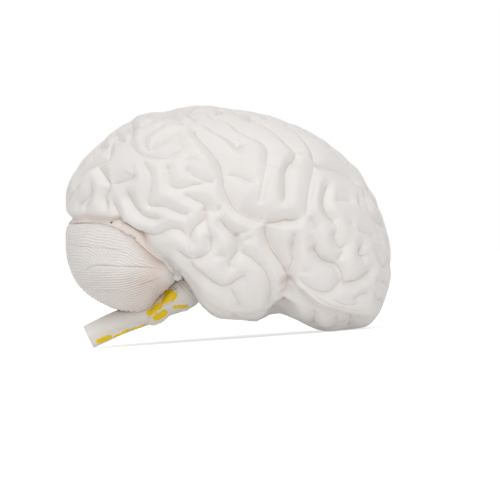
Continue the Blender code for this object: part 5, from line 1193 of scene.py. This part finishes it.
class BRAIN_OT_cerebrum(bpy.types.Operator):
    """Build the two folded halves of the cerebrum"""

    bl_idname = "brain.cerebrum"
    bl_label = "Build the cerebrum"

    def execute(self, context):
        sizes = context.scene.brain_sizes
        skin = cerebrum_form("cerebrum_right_skin")
        outer = BVHTree.FromObject(skin, bpy.context.evaluated_depsgraph_get())
        hind = cerebellum_form("cerebellum_plain")
        ledge = swollen(skin, "ledge", LEDGE_REACH)
        cut(ledge, swollen(hind, "ledge_face", LEDGE_FACE), "INTERSECT")
        cut(ledge, swollen(hind, "ledge_foot", LEDGE_FOOT))
        cut(skin, swollen(hind, "cerebellum_room", SEAT_GAP))
        cut(skin, ledge, "UNION")
        seam = BVHTree.FromObject(hind, bpy.context.evaluated_depsgraph_get())
        bpy.data.objects.remove(hind)
        centre, half_sizes = placed(BASE_HOLLOW)
        cut(skin, ellipsoid("hollow", Vector(centre), half_sizes))
        right_half_of(cut(skin, stem_room()))
        fine_skin(skin, sizes.skin_cell * (1.0), 8, sizes.uneven)
        thinned(folded(skin, sizes, seam, outer), sizes.skin_triangles)
        bored(bored(skin, FRONT_PIN), REAR_PIN)
        both_sides(skin, "cerebrum", cerebrum_finish(context.scene.brain_colours))
        return {"FINISHED"}


class BRAIN_OT_cerebellum(bpy.types.Operator):
    """Build the two leaved halves of the cerebellum"""

    bl_idname = "brain.cerebellum"
    bl_label = "Build the cerebellum"

    def execute(self, context):
        skin = cut(right_half_of(leaved(context.scene.brain_sizes), closed=False), stem_room())
        plate = cut(middle_plate(cerebellum_form("cerebellum_plate", 240, 160)), stem_room())
        joined(skin, bored(plate, HIND_PIN))
        both_sides(skin, "cerebellum", cerebellum_finish(context.scene.brain_colours))
        return {"FINISHED"}


class BRAIN_OT_stem(bpy.types.Operator):
    """Build the two halves of the brainstem with their nerve roots"""

    bl_idname = "brain.stem"
    bl_label = "Build the brainstem"

    def execute(self, context):
        sizes = context.scene.brain_sizes
        skin = with_roots(right_half_of(stem_form("brainstem_right_skin")))
        fine_skin(skin, sizes.stem_cell * (1.0), 4, sizes.uneven * STEM_UNEVEN)
        ridged(skin)
        both_sides(skin, "brainstem", stem_finish(context.scene.brain_colours), 45.0)
        return {"FINISHED"}


class BRAIN_OT_pins(bpy.types.Operator):
    """Build the three pins that line the halves up"""

    bl_idname = "brain.pins"
    bl_label = "Build the pins"

    def execute(self, context):
        finish = pin_finish(context.scene.brain_colours)
        for name in ("front_pin", "rear_pin", "hind_pin"):
            low, high = (Vector(corner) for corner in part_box(name))
            nothing_selected()
            bpy.ops.mesh.primitive_cylinder_add(
                vertices=BORE_SIDES, radius=(high.x - low.x) / 2, depth=high.y - low.y,
                location=(low + high) / 2, rotation=(math.pi / 2, 0.0, 0.0))
            peg = named(f"{name}_turned")
            bpy.ops.object.transform_apply(location=True, rotation=True, scale=True)
            with_modifier(peg, "BEVEL", width=PIN_BEVEL, segments=4, limit_method="ANGLE")
            peg.data.materials.append(finish)
            select_only(peg)
            bpy.ops.object.shade_smooth_by_angle(angle=math.radians(35.0))
            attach(peg, "right_half")
            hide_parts(name)
        return {"FINISHED"}


def soft_light(name, azimuth, height, level):
    """A wide soft light that lends a surface facing it the given level; azimuth 0 is the camera's side."""
    nothing_selected()
    bpy.ops.object.light_add(type="SUN", location=(0.0, 0.0, 1.0))
    lamp = named(name)
    lamp.rotation_euler = (math.pi / 2 - math.radians(height), 0.0, math.radians(azimuth))
    lamp.data.angle = SOFT_ANGLE
    lamp.data.energy = level * math.pi
    lamp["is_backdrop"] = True


class BRAIN_OT_stage(bpy.types.Operator):
    """Set out the pale floor, the soft light and the camera"""

    bl_idname = "brain.stage"
    bl_label = "Set the stage"

    def execute(self, context):
        light = context.scene.brain_light
        nothing_selected()
        bpy.ops.mesh.primitive_plane_add(size=FLOOR_SIZE, location=(0.0, 0.0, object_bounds()[0].z))
        floor = named("floor")
        floor.data.materials.append(floor_finish(light))
        floor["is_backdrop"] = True
        soft_light("top_light", -8.0, 60.0, light.top)
        soft_light("front_light", 12.0, 4.0, light.front)
        world = bpy.data.worlds.new("studio")
        context.scene.world = world
        world.use_nodes = True
        tree = world.node_tree
        rays = linked(tree, "ShaderNodeLightPath").outputs
        shown = computed(tree, "MAXIMUM", rays["Is Camera Ray"], computed(
            tree, "MAXIMUM", rays["Is Glossy Ray"], rays["Is Transmission Ray"]))
        tree.links.new(ranged(tree, shown, 0.0, 1.0, light.room, 1.0), tree.nodes["Background"].inputs["Strength"])
        tree.nodes["Background"].inputs["Color"].default_value = (1.0, 1.0, 1.0, 1.0)
        leaning = stance()
        aim = leaning @ Vector((VIEW_CENTRE[0] * MM, 0.0, VIEW_CENTRE[1] * MM))
        bpy.ops.object.camera_add(location=(0.0, 0.0, 0.0))
        camera = named("camera")
        camera.data.sensor_width = SENSOR
        camera.data.lens = SENSOR * VIEW_DISTANCE / VIEW_WIDTH
        camera.data.clip_end = 4.0 * VIEW_DISTANCE
        upright = Matrix.Rotation(math.pi / 2, 4, "X")
        camera.matrix_world = (Matrix.Translation(aim - Vector((0.0, VIEW_DISTANCE, 0.0)))
                               @ leaning.to_3x3().to_4x4() @ upright)
        camera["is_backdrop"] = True
        context.scene.camera = camera
        context.scene.view_settings.view_transform = "Standard"
        return {"FINISHED"}


def floor_finish(light):
    """A pale floor whose open ground shows as the white of the room, while it keeps the object's shadow."""
    finish = bpy.data.materials.new("floor_white")
    finish.use_nodes = True
    tree = finish.node_tree
    tree.nodes.remove(tree.nodes["Principled BSDF"])
    matt = linked(tree, "ShaderNodeBsdfDiffuse", Color=(*light.floor, 1.0)).outputs[0]
    rays = linked(tree, "ShaderNodeLightPath").outputs
    lift = computed(tree, "MULTIPLY", rays["Is Camera Ray"], FLOOR_LIFT)
    glow = linked(tree, "ShaderNodeEmission", Strength=computed(tree, "ADD", lift, light.glow)).outputs[0]
    total = linked(tree, "ShaderNodeAddShader", _0=matt, _1=glow).outputs[0]
    tree.links.new(total, tree.nodes["Material Output"].inputs["Surface"])
    return finish


class BRAIN_PT_panel(bpy.types.Panel):
    """Lists the steps that dress the model"""

    bl_idname = "BRAIN_PT_panel"
    bl_label = "Brain anatomy model"
    bl_space_type = "VIEW_3D"
    bl_region_type = "UI"
    bl_category = "Brain"

    def draw(self, context):
        for operator in STEPS:
            self.layout.operator(operator.bl_idname)
        for group in (context.scene.brain_sizes, context.scene.brain_colours, context.scene.brain_light):
            column = self.layout.column()
            for name in group.__annotations__:
                column.prop(group, name)


STEPS = (BRAIN_OT_cerebrum, BRAIN_OT_cerebellum, BRAIN_OT_stem, BRAIN_OT_pins, BRAIN_OT_stage)
GROUPS = {"brain_sizes": BrainSizes, "brain_colours": BrainColours, "brain_light": StudioLight}


def register():
    for kind in (*GROUPS.values(), *STEPS, BRAIN_PT_panel):
        bpy.utils.register_class(kind)
    for name, group in GROUPS.items():
        setattr(bpy.types.Scene, name, PointerProperty(type=group))


def unregister():
    for name in GROUPS:
        delattr(bpy.types.Scene, name)
    for kind in reversed((*GROUPS.values(), *STEPS, BRAIN_PT_panel)):
        bpy.utils.unregister_class(kind)


def main():
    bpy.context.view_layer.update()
    register()
    bpy.ops.brain.cerebrum()
    bpy.ops.brain.cerebellum()
    bpy.ops.brain.stem()
    bpy.ops.brain.pins()
    bpy.ops.brain.stage()


if __name__ == "__main__":
    main()
